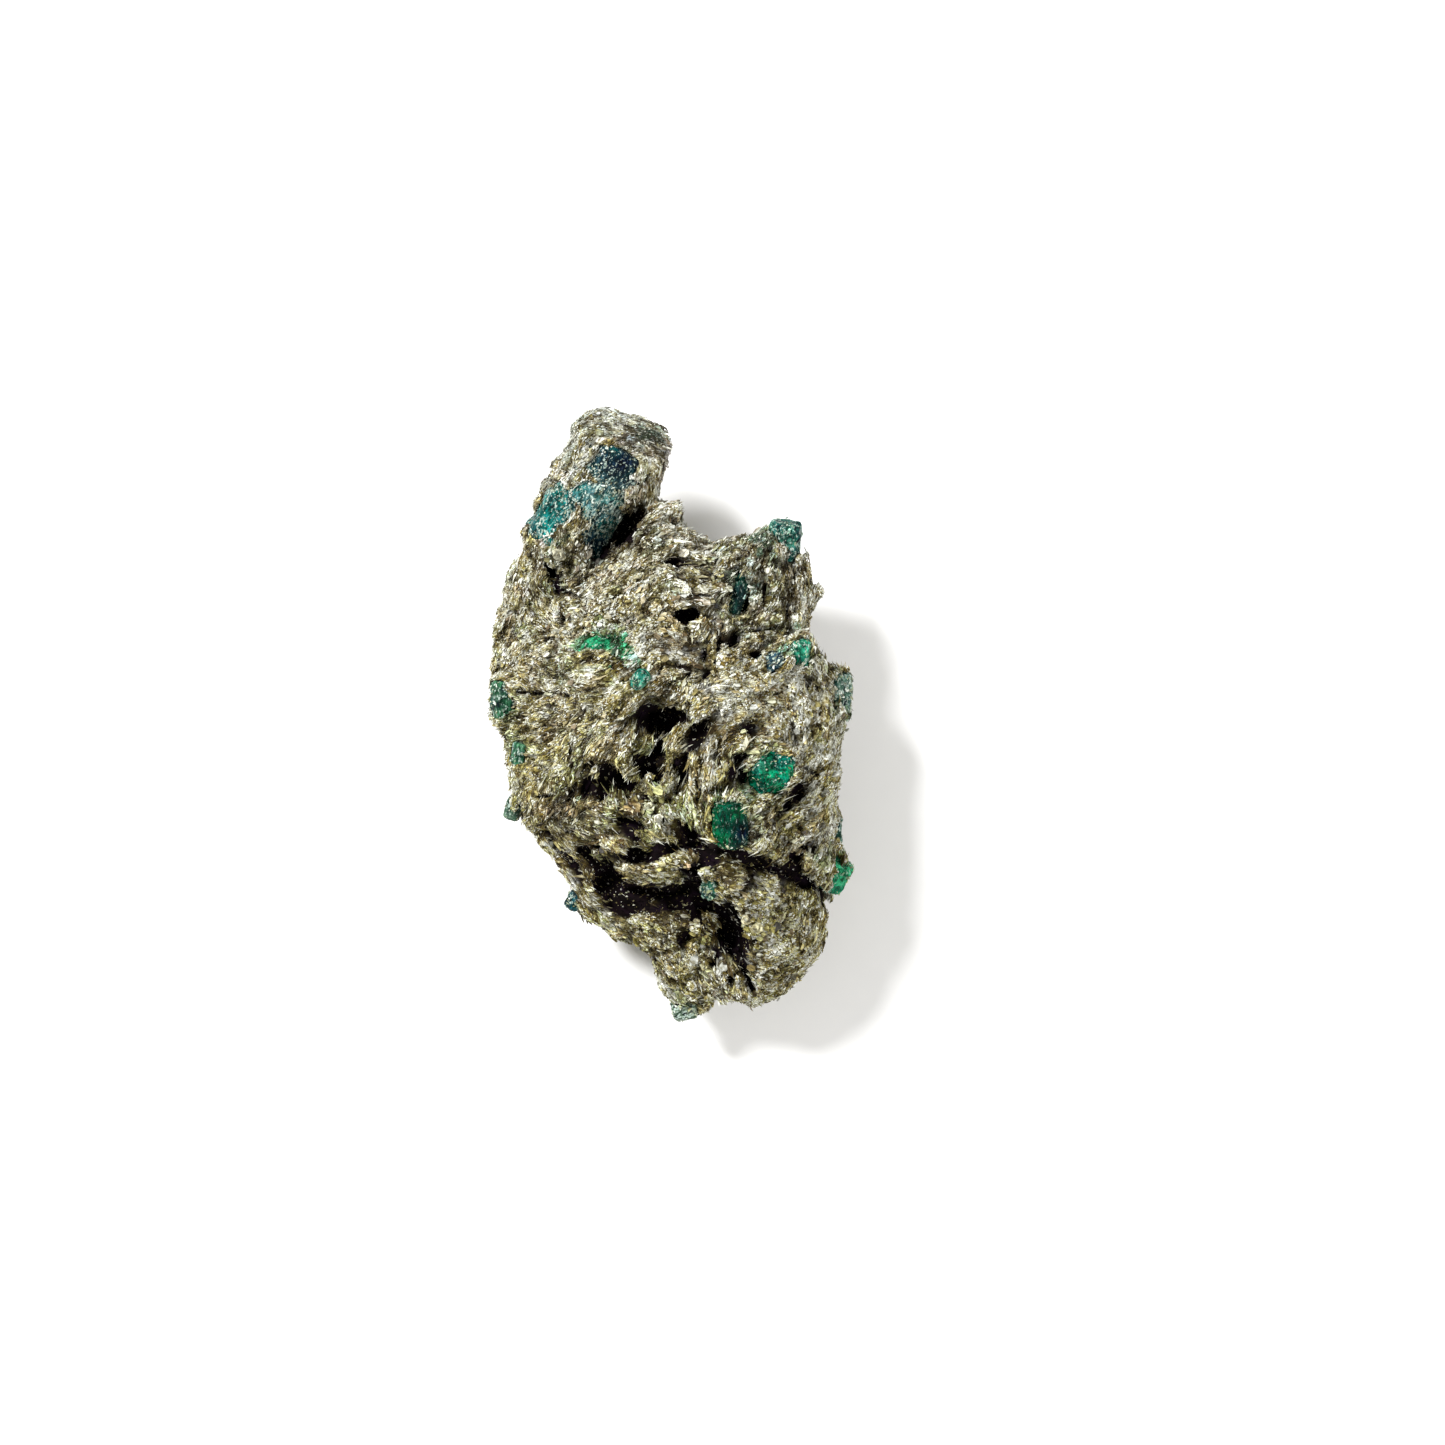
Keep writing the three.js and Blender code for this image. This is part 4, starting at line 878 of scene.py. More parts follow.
def relax(verts, quads, times, weight):
    """Evens out a net without shrinking it much."""
    a = np.concatenate([quads[:, k] for k in range(4)])
    b = np.concatenate([quads[:, (k + 1) % 4] for k in range(4)])
    degree = np.bincount(a, minlength=len(verts)) + np.bincount(b, minlength=len(verts))
    for step in range(times):
        w = weight if step % 2 == 0 else -weight * 0.9
        mean = np.stack(
            [np.bincount(a, verts[b, k], len(verts)) + np.bincount(b, verts[a, k], len(verts)) for k in range(3)], 1
        ) / degree[:, None]
        verts = verts + w * (mean - verts)
    return verts


def vertex_normals(verts, quads):
    n = np.cross(verts[quads[:, 2]] - verts[quads[:, 0]], verts[quads[:, 3]] - verts[quads[:, 1]])
    out = np.stack([sum(np.bincount(quads[:, k], n[:, c], len(verts)) for k in range(4)) for c in range(3)], 1)
    return out / np.maximum(np.linalg.norm(out, axis=1, keepdims=True), 1e-12)


def sample_grid(f, low, cell, p):
    q = (p - low) / cell
    i = np.clip(np.floor(q).astype(int), 0, np.array(f.shape) - 2)
    t = np.clip(q - i, 0, 1)
    total = 0
    for k in range(8):
        a = np.array([k & 1, (k >> 1) & 1, k >> 2])
        total = total + np.prod(np.where(a, t, 1 - t), 1) * f[tuple((i + a).T)]
    return total


# ---------------------------------------------------------------- foliation and colour by place


def foliation(p):
    """Streak direction T, sheet normal N and roughness at points p."""
    c2 = s2 = pitch = rough = weight = 0
    for x, y, heading, up, r in FOLIA:
        w = 1 / ((p[:, 0] - x) ** 2 + (p[:, 1] - y) ** 2 + 1.6) ** 2
        c2 = c2 + w * math.cos(rad(2 * heading))
        s2 = s2 + w * math.sin(rad(2 * heading))
        pitch = pitch + w * up
        rough = rough + w * r
        weight = weight + w
    theta = 0.5 * np.arctan2(s2, c2) + 0.22 * noise(p[:, 0] / 2.6, p[:, 1] / 2.6, p[:, 2] / 2.6, 31)
    phi = np.radians(pitch / weight) + 0.3 * noise(p[:, 0] / 3.1, p[:, 1] / 3.1, p[:, 2] / 3.1, 32)
    t = np.stack([np.cos(theta), np.sin(theta), 0 * theta], 1)
    n = np.stack([-np.sin(theta) * np.cos(phi), np.cos(theta) * np.cos(phi), np.sin(phi)], 1)
    return t, n, rough / weight


KINDS = ["silver", "cream", "olive", "tan", "grey", "brown", "dark", "rust", "jade"]
PIGMENT = np.array([
    [0.50, 0.50, 0.42],
    [0.57, 0.55, 0.42],
    [0.27, 0.265, 0.105],
    [0.39, 0.305, 0.165],
    [0.30, 0.34, 0.255],
    [0.13, 0.085, 0.032],
    [0.030, 0.022, 0.020],
    [0.22, 0.13, 0.04],
    [0.12, 0.26, 0.20],
])
SHARE = np.array([0.22, 0.30, 0.15, 0.12, 0.10, 0.06, 0.04, 0.005, 0.0])


def minerals(p, rng, contrast=1.0):
    """A pigment for each point, picked at random from the minerals found there."""
    share = np.repeat(SHARE[None], len(p), 0)
    patch = noise(p[:, 0] / 4.3, p[:, 1] / 4.3, p[:, 2] / 4.3, 41)
    share[:, 0] *= np.exp(1.0 * patch)
    share[:, 3] *= np.exp(-1.3 * patch)
    patch = noise(p[:, 0] / 2.4, p[:, 1] / 2.4, p[:, 2] / 2.4, 42)
    share[:, 1] *= np.exp(1.1 * patch)
    share[:, 2] *= np.exp(-0.9 * patch)
    share[:, 5] *= np.exp(-1.4 * patch)
    for x, y, rx, ry, kind, strength in PATCHES:
        w = np.exp(-(((p[:, 0] - x) / rx) ** 2 + ((p[:, 1] - y) / ry) ** 2)) * strength
        w = w * smoothstep(p[:, 2], 3, 8)
        share[:, KINDS.index(kind)] += w * 1.6
    share /= share.sum(1, keepdims=True)
    pick = (rng.random(len(p))[:, None] > np.cumsum(share, 1)).sum(1).clip(0, len(KINDS) - 1)
    tint = PIGMENT[pick] * np.exp(rng.normal(0, 0.22 * contrast, (len(p), 1))) * np.exp(rng.normal(0, 0.035, (len(p), 3)))
    mean = share @ PIGMENT
    # the SHADES patches: partly the rock's own tone, partly painted light and shade
    pale = sum(s * np.exp(-(((p[:, 0] - x) / rx) ** 2 + ((p[:, 1] - y) / ry) ** 2)) for x, y, rx, ry, s in SHADES)
    pale = np.exp(pale * smoothstep(p[:, 2], 3, 8))[:, None]
    return tint * pale, mean * pale


def shade_depth(p):
    """How far inside a pit or crack a point is, 0 to 1."""
    out = np.zeros(len(p))
    i = np.clip(((p[:, 0] - LOW[0]) / CELL).round().astype(int), 0, lid.shape[0] - 1)
    j = np.clip(((p[:, 1] - LOW[1]) / CELL).round().astype(int), 0, lid.shape[1] - 1)
    below = lid[i, j] - p[:, 2]
    for row in FINE_PITS:
        e = np.sqrt(ellipse(p[:, 0], p[:, 1], row))
        out = np.maximum(out, smoothstep(-e, -1.5, -0.95) * smoothstep(below, 0.25, 1.3) * smoothstep(-below, -row[5] - 2.5, -row[5] - 0.5))
    for half, depth, points in FINE_CRACKS:
        e = polyline_distance(p[:, 0], p[:, 1], points) / half
        out = np.maximum(out, smoothstep(-e, -1.9, -1.0) * smoothstep(below, 0.15, 0.9) * smoothstep(-below, -depth - 2.5, -depth - 0.5))
    return out


# ---------------------------------------------------------------- meshes


def new_mesh(name, verts, faces, sizes=None, smooth=False):
    """verts in table millimetres; faces a flat list of corners with sizes, or an (n, 4) array."""
    mesh = bpy.data.meshes.new(name)
    if sizes is None:
        sizes = np.full(len(faces), faces.shape[1])
    corners = np.asarray(faces).reshape(-1)
    mesh.vertices.add(len(verts))
    mesh.vertices.foreach_set("co", ((verts - CENTRE) * 0.001).astype(np.float32).reshape(-1))
    mesh.loops.add(len(corners))
    mesh.loops.foreach_set("vertex_index", corners.astype(np.int32))
    mesh.polygons.add(len(sizes))
    mesh.polygons.foreach_set("loop_start", (np.cumsum(sizes) - sizes).astype(np.int32))
    mesh.polygons.foreach_set("use_smooth", np.full(len(sizes), smooth))
    mesh.update(calc_edges=True)
    obj = bpy.data.objects.new(name, mesh)
    bpy.context.scene.collection.objects.link(obj)
    return obj


def put(obj, name, kind, domain, values):
    attribute = obj.data.attributes.new(name, kind, domain)
    attribute.data.foreach_set("color" if "COLOR" in kind else "vector", values.astype(np.float32).reshape(-1))


def rgba(c):
    return np.concatenate([np.clip(c, 0, 1), np.ones((len(c), 1))], 1)


def unit(v):
    return v / np.maximum(np.linalg.norm(v, axis=1, keepdims=True), 1e-12)


def plates(name, centre, t, b, n, long, wide, thick, sides, tint, rng):
    """Closed many-sided plates, one for each row of the arrays."""
    m = len(centre)
    a = (np.arange(sides)[None] + rng.uniform(-0.3, 0.3, (m, sides)) + rng.random((m, 1))) * 2 * math.pi / sides
    r = rng.uniform(0.78, 1.12, (m, sides))
    x, y = np.cos(a) * r * long[:, None] / 2, np.sin(a) * r * wide[:, None] / 2
    shrink = rng.uniform(0.72, 0.98, (m, 1))
    lean_x, lean_y = rng.normal(0, 0.25, (m, 1)) * thick[:, None], rng.normal(0, 0.25, (m, 1)) * thick[:, None]
    lx = np.concatenate([x, x * shrink + lean_x], 1)
    ly = np.concatenate([y, y * shrink + lean_y], 1)
    wedge = rng.normal(0, 0.10, (m, 1)) * thick[:, None] / long[:, None] * 2
    lz = np.concatenate([0 * x - thick[:, None] / 2, 0 * x + thick[:, None] / 2 + wedge * x], 1)
    verts = centre[:, None] + lx[..., None] * t[:, None] + ly[..., None] * b[:, None] + lz[..., None] * n[:, None]
    verts = verts.reshape(-1, 3)
    verts[:, 2] = np.maximum(verts[:, 2], 0.0)
    k = np.arange(sides)
    k2 = (k + 1) % sides
    one = [*reversed(k), *(k + sides)]
    for i in range(sides):
        one += [k[i], k2[i], k2[i] + sides, k[i] + sides]
    size = [sides, sides] + [4] * sides
    faces = (np.array(one)[None] + (np.arange(m) * 2 * sides)[:, None]).reshape(-1)
    obj = new_mesh(name, verts, faces, np.tile(size, m))
    put(obj, "tint", "FLOAT_COLOR", "POINT", rgba(np.repeat(tint, 2 * sides, 0)))
    offset = rng.uniform(-60, 60, (m, 1, 3))
    put(obj, "grain", "FLOAT_VECTOR", "POINT", (np.stack([lx, ly, lz], 2) + offset).reshape(-1, 3))
    return obj


TINTS = {  # main colour, second colour, how much mica dust
    "emerald_horn": [(0.002, 0.105, 0.09), (0.008, 0.045, 0.05), 0.7],
    "emerald_nub": [(0.02, 0.11, 0.075), (0.006, 0.05, 0.04), 0.6],
    "emerald_arch": [(0.015, 0.23, 0.095), (0.005, 0.12, 0.05), 0.3],
    "emerald_bead": [(0.05, 0.22, 0.14), (0.015, 0.13, 0.09), 0.5],
    "emerald_left_rim": [(0.02, 0.085, 0.04), (0.004, 0.03, 0.02), 0.45],
    "emerald_left_low": [(0.04, 0.13, 0.065), (0.02, 0.08, 0.045), 0.4],
    "emerald_round": [(0.0, 0.125, 0.052), (0.0005, 0.075, 0.05), 0.12],
    "emerald_block": [(0.0, 0.072, 0.022), (0.0, 0.038, 0.018), 0.0],
    "emerald_right_rim": [(0.02, 0.25, 0.11), (0.006, 0.13, 0.06), 0.2],
    "emerald_notch": [(0.02, 0.22, 0.13), (0.008, 0.12, 0.075), 0.4],
    "emerald_blue": [(0.025, 0.065, 0.08), (0.012, 0.035, 0.05), 0.6],
    "emerald_right_edge": [(0.05, 0.11, 0.08), (0.015, 0.05, 0.04), 0.7],
    "emerald_side": [(0.025, 0.085, 0.06), (0.012, 0.05, 0.035), 0.6],
    "emerald_foot": [(0.13, 0.18, 0.12), (0.06, 0.1, 0.065), 0.7],
    "emerald_chip": [(0.006, 0.045, 0.05), (0.005, 0.025, 0.03), 0.4],
    "emerald_dark": [(0.004, 0.028, 0.018), (0.003, 0.014, 0.013), 0.12],
    "emerald_cleft": [(0.012, 0.065, 0.038), (0.006, 0.03, 0.024), 0.5],
    "emerald_left_toe": [(0.05, 0.1, 0.065), (0.025, 0.055, 0.035), 0.6],
}

# ---------------------------------------------------------------- bundles of mica


class Bundles:
    """The rock is an aggregate of long bundles: cells around jittered seeds, stretched along the streaks at each seed."""

    def __init__(self, spacing, seed, stretch):
        self.spacing, self.squash = spacing, 1 - 1 / stretch**2
        self.base = np.floor(LOW / spacing).astype(int) - 2
        self.dims = np.ceil(HIGH / spacing).astype(int) + 3 - self.base
        index = np.stack(np.meshgrid(*[np.arange(n) for n in self.dims], indexing="ij"), 3).reshape(-1, 3)
        cell = index + self.base
        self.random = np.stack([lattice(cell[:, 0], cell[:, 1], cell[:, 2], seed + k) for k in range(8)], 1).astype(float)
        self.seeds = (cell + 0.5 + 0.42 * (2 * self.random[:, :3] - 1)) * spacing
        self.t, self.n, self.rough = foliation(self.seeds)
        # each bundle lies a little askew
        self.n = unit(self.n + 0.7 * (self.random[:, 3:6] - 0.5))
        self.t = unit(self.t - (self.t * self.n).sum(1, keepdims=True) * self.n)
        twist = ((self.random[:, 4] - 0.5) * 0.9 * np.clip(self.rough, 0.4, 1.2))[:, None]
        self.t = unit(self.t * np.cos(twist) + np.cross(self.n, self.t) * np.sin(twist))
        self.b = np.cross(self.n, self.t)
        self.missing = np.zeros(len(self.seeds), bool)

    def nearest(self, p):
        """Nearest whole bundle, distances to it and the next, and the distance to the nearest missing one."""
        p = p.astype(np.float32)
        grid = np.floor(p / self.spacing).astype(int) - self.base
        first = np.full(len(p), 1e6, np.float32)
        second, gone, own = first.copy(), first.copy(), np.zeros(len(p), np.int64)
        seeds, t = self.seeds.astype(np.float32), self.t.astype(np.float32)
        any_gone = self.missing.any()
        for dx in (-1, 0, 1):
            for dy in (-1, 0, 1):
                for dz in (-1, 0, 1):
                    c = np.clip(grid + (dx, dy, dz), 0, self.dims - 1)
                    flat_index = (c[:, 0] * self.dims[1] + c[:, 1]) * self.dims[2] + c[:, 2]
                    v = p - seeds[flat_index]
                    along = (v * t[flat_index]).sum(1)
                    d = np.sqrt(np.maximum((v * v).sum(1) - self.squash * along * along, 0))
                    if any_gone:
                        m = self.missing[flat_index]
                        gone = np.where(m, np.minimum(gone, d), gone)
                        d = np.where(m, 1e6, d)
                    closer = d < first
                    second = np.where(closer, first, np.minimum(second, d))
                    own = np.where(closer, flat_index, own)
                    first = np.where(closer, d, first)
        return own, first, second, gone


# ---------------------------------------------------------------- crystals


def prism_distance(q, radius, length):
    """Distances to the sides and the ends of a hexagonal prism along the z axis, negative inside."""
    side = radius * 0.985 * math.cos(rad(30))
    d = np.maximum.reduce([np.abs(q[..., 0] * math.cos(rad(a)) + q[..., 1] * math.sin(rad(a))) for a in (30, 90, 150)]) - side
    return d, np.abs(q[..., 2]) - length / 2


def worn_prism(q, radius, length, number):
    """Distance to the worn crystal: rounded edges, dents and lengthwise striae."""
    side, end = prism_distance(q, radius, length)
    r = (0.30 if radius > 4 else 0.42) * radius
    d = np.hypot(np.maximum(side + r, 0), np.maximum(end + r, 0)) + np.minimum(np.maximum(side + r, end + r), 0) - r
    small = min(1, radius / 2)
    angle = np.arctan2(q[..., 1], q[..., 0]) * radius
    worn = 0.24 * noise(q[..., 0] / 1.7, q[..., 1] / 1.7, q[..., 2] / 1.7, 200 + number)
    worn = worn + 0.16 * noise(q[..., 0] / 0.6, q[..., 1] / 0.6, q[..., 2] / 0.6, 300 + number)
    striae = 0.05 * noise(angle / 0.3, 0 * angle, q[..., 2] / 4.0, 400 + number)
    return d + 0.05 - (worn + striae) * small


def crystal_frame(row):
    """Rotation that stands table axes on a crystal, as the solid model places it."""
    heading, rise, roll = row[4], row[5], row[6]
    axis = Vector((math.cos(rad(heading)) * math.cos(rad(rise)), math.sin(rad(heading)) * math.cos(rad(rise)), math.sin(rad(rise))))
    turn = Vector((0, 0, 1)).rotation_difference(axis) @ Quaternion((0, 0, 1), rad(roll))
    return np.array(turn.to_matrix())


def window(name, row, x, y):
    """Where a crystal shows through the mica on it: positive inside."""
    rows = [w[1:] for w in WINDOWS if w[0] == name]
    if not rows:
        reach = row[7] * 1.05 + 0.5 * row[8] * abs(math.cos(rad(row[5]))) * 0.9
        rows = [[row[1], row[2], reach, reach, 0]]
    return np.maximum.reduce([1 - np.sqrt(ellipse(x, y, [w[0], w[1], w[2], w[3], w[4]])) for w in rows])


# ---------------------------------------------------------------- build the rock

LOW = np.array([-19.6, -32.0, -0.8])
HIGH = np.array([19.9, 32.0, 26.6])
shape = np.ceil((HIGH - LOW) / CELL).astype(int) + 1
gx = (LOW[0] + np.arange(shape[0]) * CELL)[:, None, None]
gy = (LOW[1] + np.arange(shape[1]) * CELL)[None, :, None]
gz = (LOW[2] + np.arange(shape[2]) * CELL)[None, None, :]
plain_field, nominal_top, edge = plain_rock(gx + 0 * gy, gy + 0 * gx, gz)
field = wide_hollows(gx, gy, gz, plain_field, nominal_top)
nominal = np.minimum(field + 0.4 * np.maximum(plain_field - field, 0), gz.astype(np.float32) + 1.0)  # how deep a point lies under the rock's general surface
del plain_field
edge_fade = np.clip(0.4 + edge / 2.5, 0.4, 1).astype(np.float32)
grid = np.stack(np.broadcast_arrays(gx, gy, gz), 3)

# mica grown over parts of the crystals
coats = []
for number, row in enumerate(CRYSTALS):
    name, cx, cy, cz, heading, rise, roll, radius, length = row
    centre = np.array([cx, cy, cz])
    span = np.hypot(radius, length / 2) + 1.8
    i0 = np.maximum(((centre - span - LOW) / CELL).astype(int), 0)
    i1 = np.minimum(((centre + span - LOW) / CELL).astype(int) + 2, shape)
    w = tuple(slice(a, b) for a, b in zip(i0, i1))
    g = grid[w]
    d = worn_prism((g - centre) @ crystal_frame(row), radius, length, number)
    loose_edge = 0.34 * noise(g[..., 0] / 1.5, g[..., 1] / 1.5, g[..., 2] / 1.5, 26) + 0.30 * noise(g[..., 0] / 0.6, g[..., 1] / 0.6, g[..., 2] / 0.6, 27)
    shows = window(name, row, g[..., 0], g[..., 1]) + loose_edge * (0.5 if name == "emerald_arch" else 1.0)
    crust = smoothstep(-shows, -0.12, 0.30) * (0.95 + 0.25 * noise(g[..., 0] / 1.0, g[..., 1] / 1.0, g[..., 2] / 1.0, 28)) - 0.25
    cap = 0.45 if abs(cx) > 14 or abs(cy) > 24 else 3.0 if name == "emerald_arch" else 1.6  # on the rim the mica stays close
    crust = np.minimum(crust - d, field[w] + cap).astype(np.float32)
    coats.append((w, np.minimum(smoothstep(-shows, -0.05, 0.25) * 0.62 - 0.20 - d, field[w] + cap - 0.1).astype(np.float32)))
    field[w] = np.maximum(field[w], crust)
    nominal[w] = np.maximum(nominal[w], crust)

coarse = Bundles(2.3, 71, 1.9)
depth_of = sample_grid(nominal, LOW, CELL, coarse.seeds)
holes = 0.07 + 0 * depth_of
for x, y, rx, ry, strength in PITTING:
    holes = np.maximum(holes, strength * np.exp(-(((coarse.seeds[:, 0] - x) / rx) ** 2 + ((coarse.seeds[:, 1] - y) / ry) ** 2)) * smoothstep(coarse.seeds[:, 2], 3, 7))
coarse.missing = (coarse.random[:, 6] < holes * 0.62) & (depth_of > -1.2) & (depth_of < 1.0 + 2.2 * (holes > 0.45)) & (coarse.seeds[:, 2] > 2.5)

near = np.abs(field) < 3.4
p = grid[near].astype(np.float32)
own, first, second, gone = coarse.nearest(p)
rough = coarse.rough[own].astype(np.float32)
f = field[near]
fade = np.broadcast_to(edge_fade, field.shape)[near]
f = f + fade * rough * (0.55 * (coarse.random[own, 7] - 0.5) - 0.60 * (1 - smoothstep(second - first, 0.0, 0.65))).astype(np.float32)
ragged = 0.16 * noise(p[:, 0] / 0.7, p[:, 1] / 0.7, p[:, 2] / 0.7, 25)
f = np.minimum(f, 0.10 + 0.85 * (gone - first) + ragged)
field[near] = f

small = Bundles(1.15, 81, 2.3)
near = np.abs(field) < 0.9
p = grid[near].astype(np.float32)
own, first, second, gone = small.nearest(p)
rough = small.rough[own].astype(np.float32)
fade = np.broadcast_to(edge_fade, field.shape)[near]
field[near] += fade * (0.35 + 0.65 * rough) * (0.34 * (small.random[own, 7] - 0.5) - 0.24 * (1 - smoothstep(second - first, 0.0, 0.4))).astype(np.float32)

for w, coat in coats:
    field[w] = np.maximum(field[w], coat)

# the surface seen from above, before the sharp pits and cracks
solid = nominal > 0
lid = LOW[2] + (shape[2] - 1 - np.argmax(solid[:, :, ::-1], 2)) * CELL
lid[~solid.any(2)] = 0
for _ in range(3):
    pad = np.pad(lid, 1, mode="edge")
    lid = sum(pad[i : i + lid.shape[0], j : j + lid.shape[1]] for i in range(3) for j in range(3)) / 9
ragged = (0.34 * noise(gx / 1.4, gy / 1.4, gz / 1.6, 23) + 0.20 * noise(gx / 0.7, gy / 0.7, gz / 1.0, 24)).astype(np.float32)
plan_x, plan_y = gx[:, :, 0] + 0 * gy[:, :, 0], gy[:, :, 0] + 0 * gx[:, :, 0]
for e, reach, depth in [(np.sqrt(ellipse(plan_x, plan_y, p)), min(p[2], p[3]), p[5]) for p in FINE_PITS] + [
    (polyline_distance(plan_x, plan_y, points) / half, half, depth) for half, depth, points in FINE_CRACKS
]:
    box = np.argwhere(e < 2.4)
    (i0, j0), (i1, j1) = box.min(0), box.max(0) + 1
    w = slice(i0, i1), slice(j0, j1)
    q = np.hypot(np.maximum(e[w][:, :, None] + ragged[w], 0), np.minimum((lid[w][:, :, None] - gz) / depth, 30))
    field[w] = np.minimum(field[w], (q - 1) * min(reach, depth))

# bridges of mica left in the pits
for x, y, heading, half, radius, depth in RIDGES:
    i0 = np.maximum(((np.array([x, y]) - half - 2.0 - LOW[:2]) / CELL).astype(int), 0)
    i1 = ((np.array([x, y]) + half + 2.0 - LOW[:2]) / CELL).astype(int) + 2
    w = slice(i0[0], i1[0]), slice(i0[1], i1[1])
    c, s = math.cos(rad(heading)), math.sin(rad(heading))
    u = (plan_x[w] - x) * c + (plan_y[w] - y) * s
    v = (plan_y[w] - y) * c - (plan_x[w] - x) * s + 0.35 * noise(u / 1.6, 0 * u, 0 * u + x, 29)
    i, j = int((x - LOW[0]) / CELL), int((y - LOW[1]) / CELL)
    level = 0.5 * lid[i, j] + 0.5 * lid[w] - depth - radius
    taper = radius * (1 - 0.45 * np.clip(np.abs(u) / half, 0, 1.2))
    bar = taper[:, :, None] - np.sqrt(np.maximum(np.abs(u) - half, 0)[:, :, None] ** 2 + v[:, :, None] ** 2 + ((gz - level[:, :, None]) * 0.8) ** 2)
    bar = (bar + 0.12 * ragged[w]).astype(np.float32)
    field[w] = np.maximum(field[w], bar)
    nominal[w] = np.where(bar > -0.5, np.minimum(nominal[w], 0.35), nominal[w])

for (w, coat), row in zip(coats, CRYSTALS):
    if row[0] == "emerald_arch":
        field[w] = np.maximum(field[w], coat)

# pockets for the crystals
for number, row in enumerate(CRYSTALS):
    name, cx, cy, cz, heading, rise, roll, radius, length = row
    centre = np.array([cx, cy, cz])
    span = np.hypot(radius, length / 2) + 0.8
    i0 = np.maximum(((centre - span - LOW) / CELL).astype(int), 0)
    i1 = np.minimum(((centre + span - LOW) / CELL).astype(int) + 2, shape)
    w = tuple(slice(a, b) for a, b in zip(i0, i1))
    d = worn_prism((grid[w] - centre) @ crystal_frame(row), radius, length, number)
    field[w] = np.minimum(field[w], (d - 0.05).astype(np.float32))
field = np.minimum(field, gz.astype(np.float32) - 0.02)
del grid, ragged

verts, quads = surface_net(field, LOW, CELL)

# keep the largest piece
label = np.arange(len(verts))
for _ in range(300):
    least = label.copy()
    for k in range(4):
        np.minimum.at(least, quads[:, k], label[quads[:, (k + 1) % 4]])
        np.minimum.at(least, quads[:, (k + 1) % 4], label[quads[:, k]])
    least = least[least]
    if (least == label).all():
        break
    label = least
main = np.bincount(label).argmax()
keep = label == main
quads = quads[keep[quads[:, 0]]]
renumber = np.cumsum(keep) - 1
verts, quads = verts[keep], renumber[quads]
resting = verts[:, 2] < 0.12
evened = relax(verts, quads, 2, 0.45)
evened[resting, 2] = verts[resting, 2]
verts = evened

# fine ridges along the streaks: noise averaged along them
normals = vertex_normals(verts, quads)
T, N, rough = foliation(verts)
ridge = np.zeros(len(verts))
for s in np.linspace(-1.2, 1.2, 7):
    p = verts + T * s
    ridge += noise(p[:, 0] / 0.6, p[:, 1] / 0.6, p[:, 2] / 0.6, 51)
ridge /= 2.6
gap_to_crystal = np.full(len(verts), 9.0)
for number, row in enumerate(CRYSTALS):
    side, end = prism_distance((verts - np.array(row[1:4])) @ crystal_frame(row), row[7], row[8])
    gap_to_crystal = np.minimum(gap_to_crystal, np.maximum(side, end))
loose = smoothstep(gap_to_crystal, 0.35, 0.9) * smoothstep(verts[:, 2], 0.15, 1.0)
verts = verts + normals * (ridge * 0.15 * (0.4 + 0.6 * rough) * loose)[:, None]
verts[:, 2] = np.maximum(verts[:, 2], 0.0)
normals = vertex_normals(verts, quads)

# ---------------------------------------------------------------- colour by place

pigments = {}
for key, group, seed in (("coarse", coarse, 1), ("small", small, 2)):
    group_rng = np.random.default_rng(seed)
    pigments[key], _ = minerals(group.seeds, group_rng)
# painted shade for the hollows: near-black at the deepest, olive-brown soil and shade in the shallower ones
HOLLOW_SHADE = np.array([0.0055, 0.0022, 0.0048])
SOIL_AND_HOLLOW_SHADE = np.array([0.050, 0.035, 0.012])
WARM = np.array([0.86, 1.0, 1.70])  # darker mica is browner


GAIN = 2.19


def crumbly_at(p):
    """Where the mica lies loose and crumbly, 0 to 1."""
    return np.maximum.reduce([s * np.exp(-(((p[:, 0] - x) / rx) ** 2 + ((p[:, 1] - y) / ry) ** 2)) for x, y, rx, ry, s in GRANULAR])



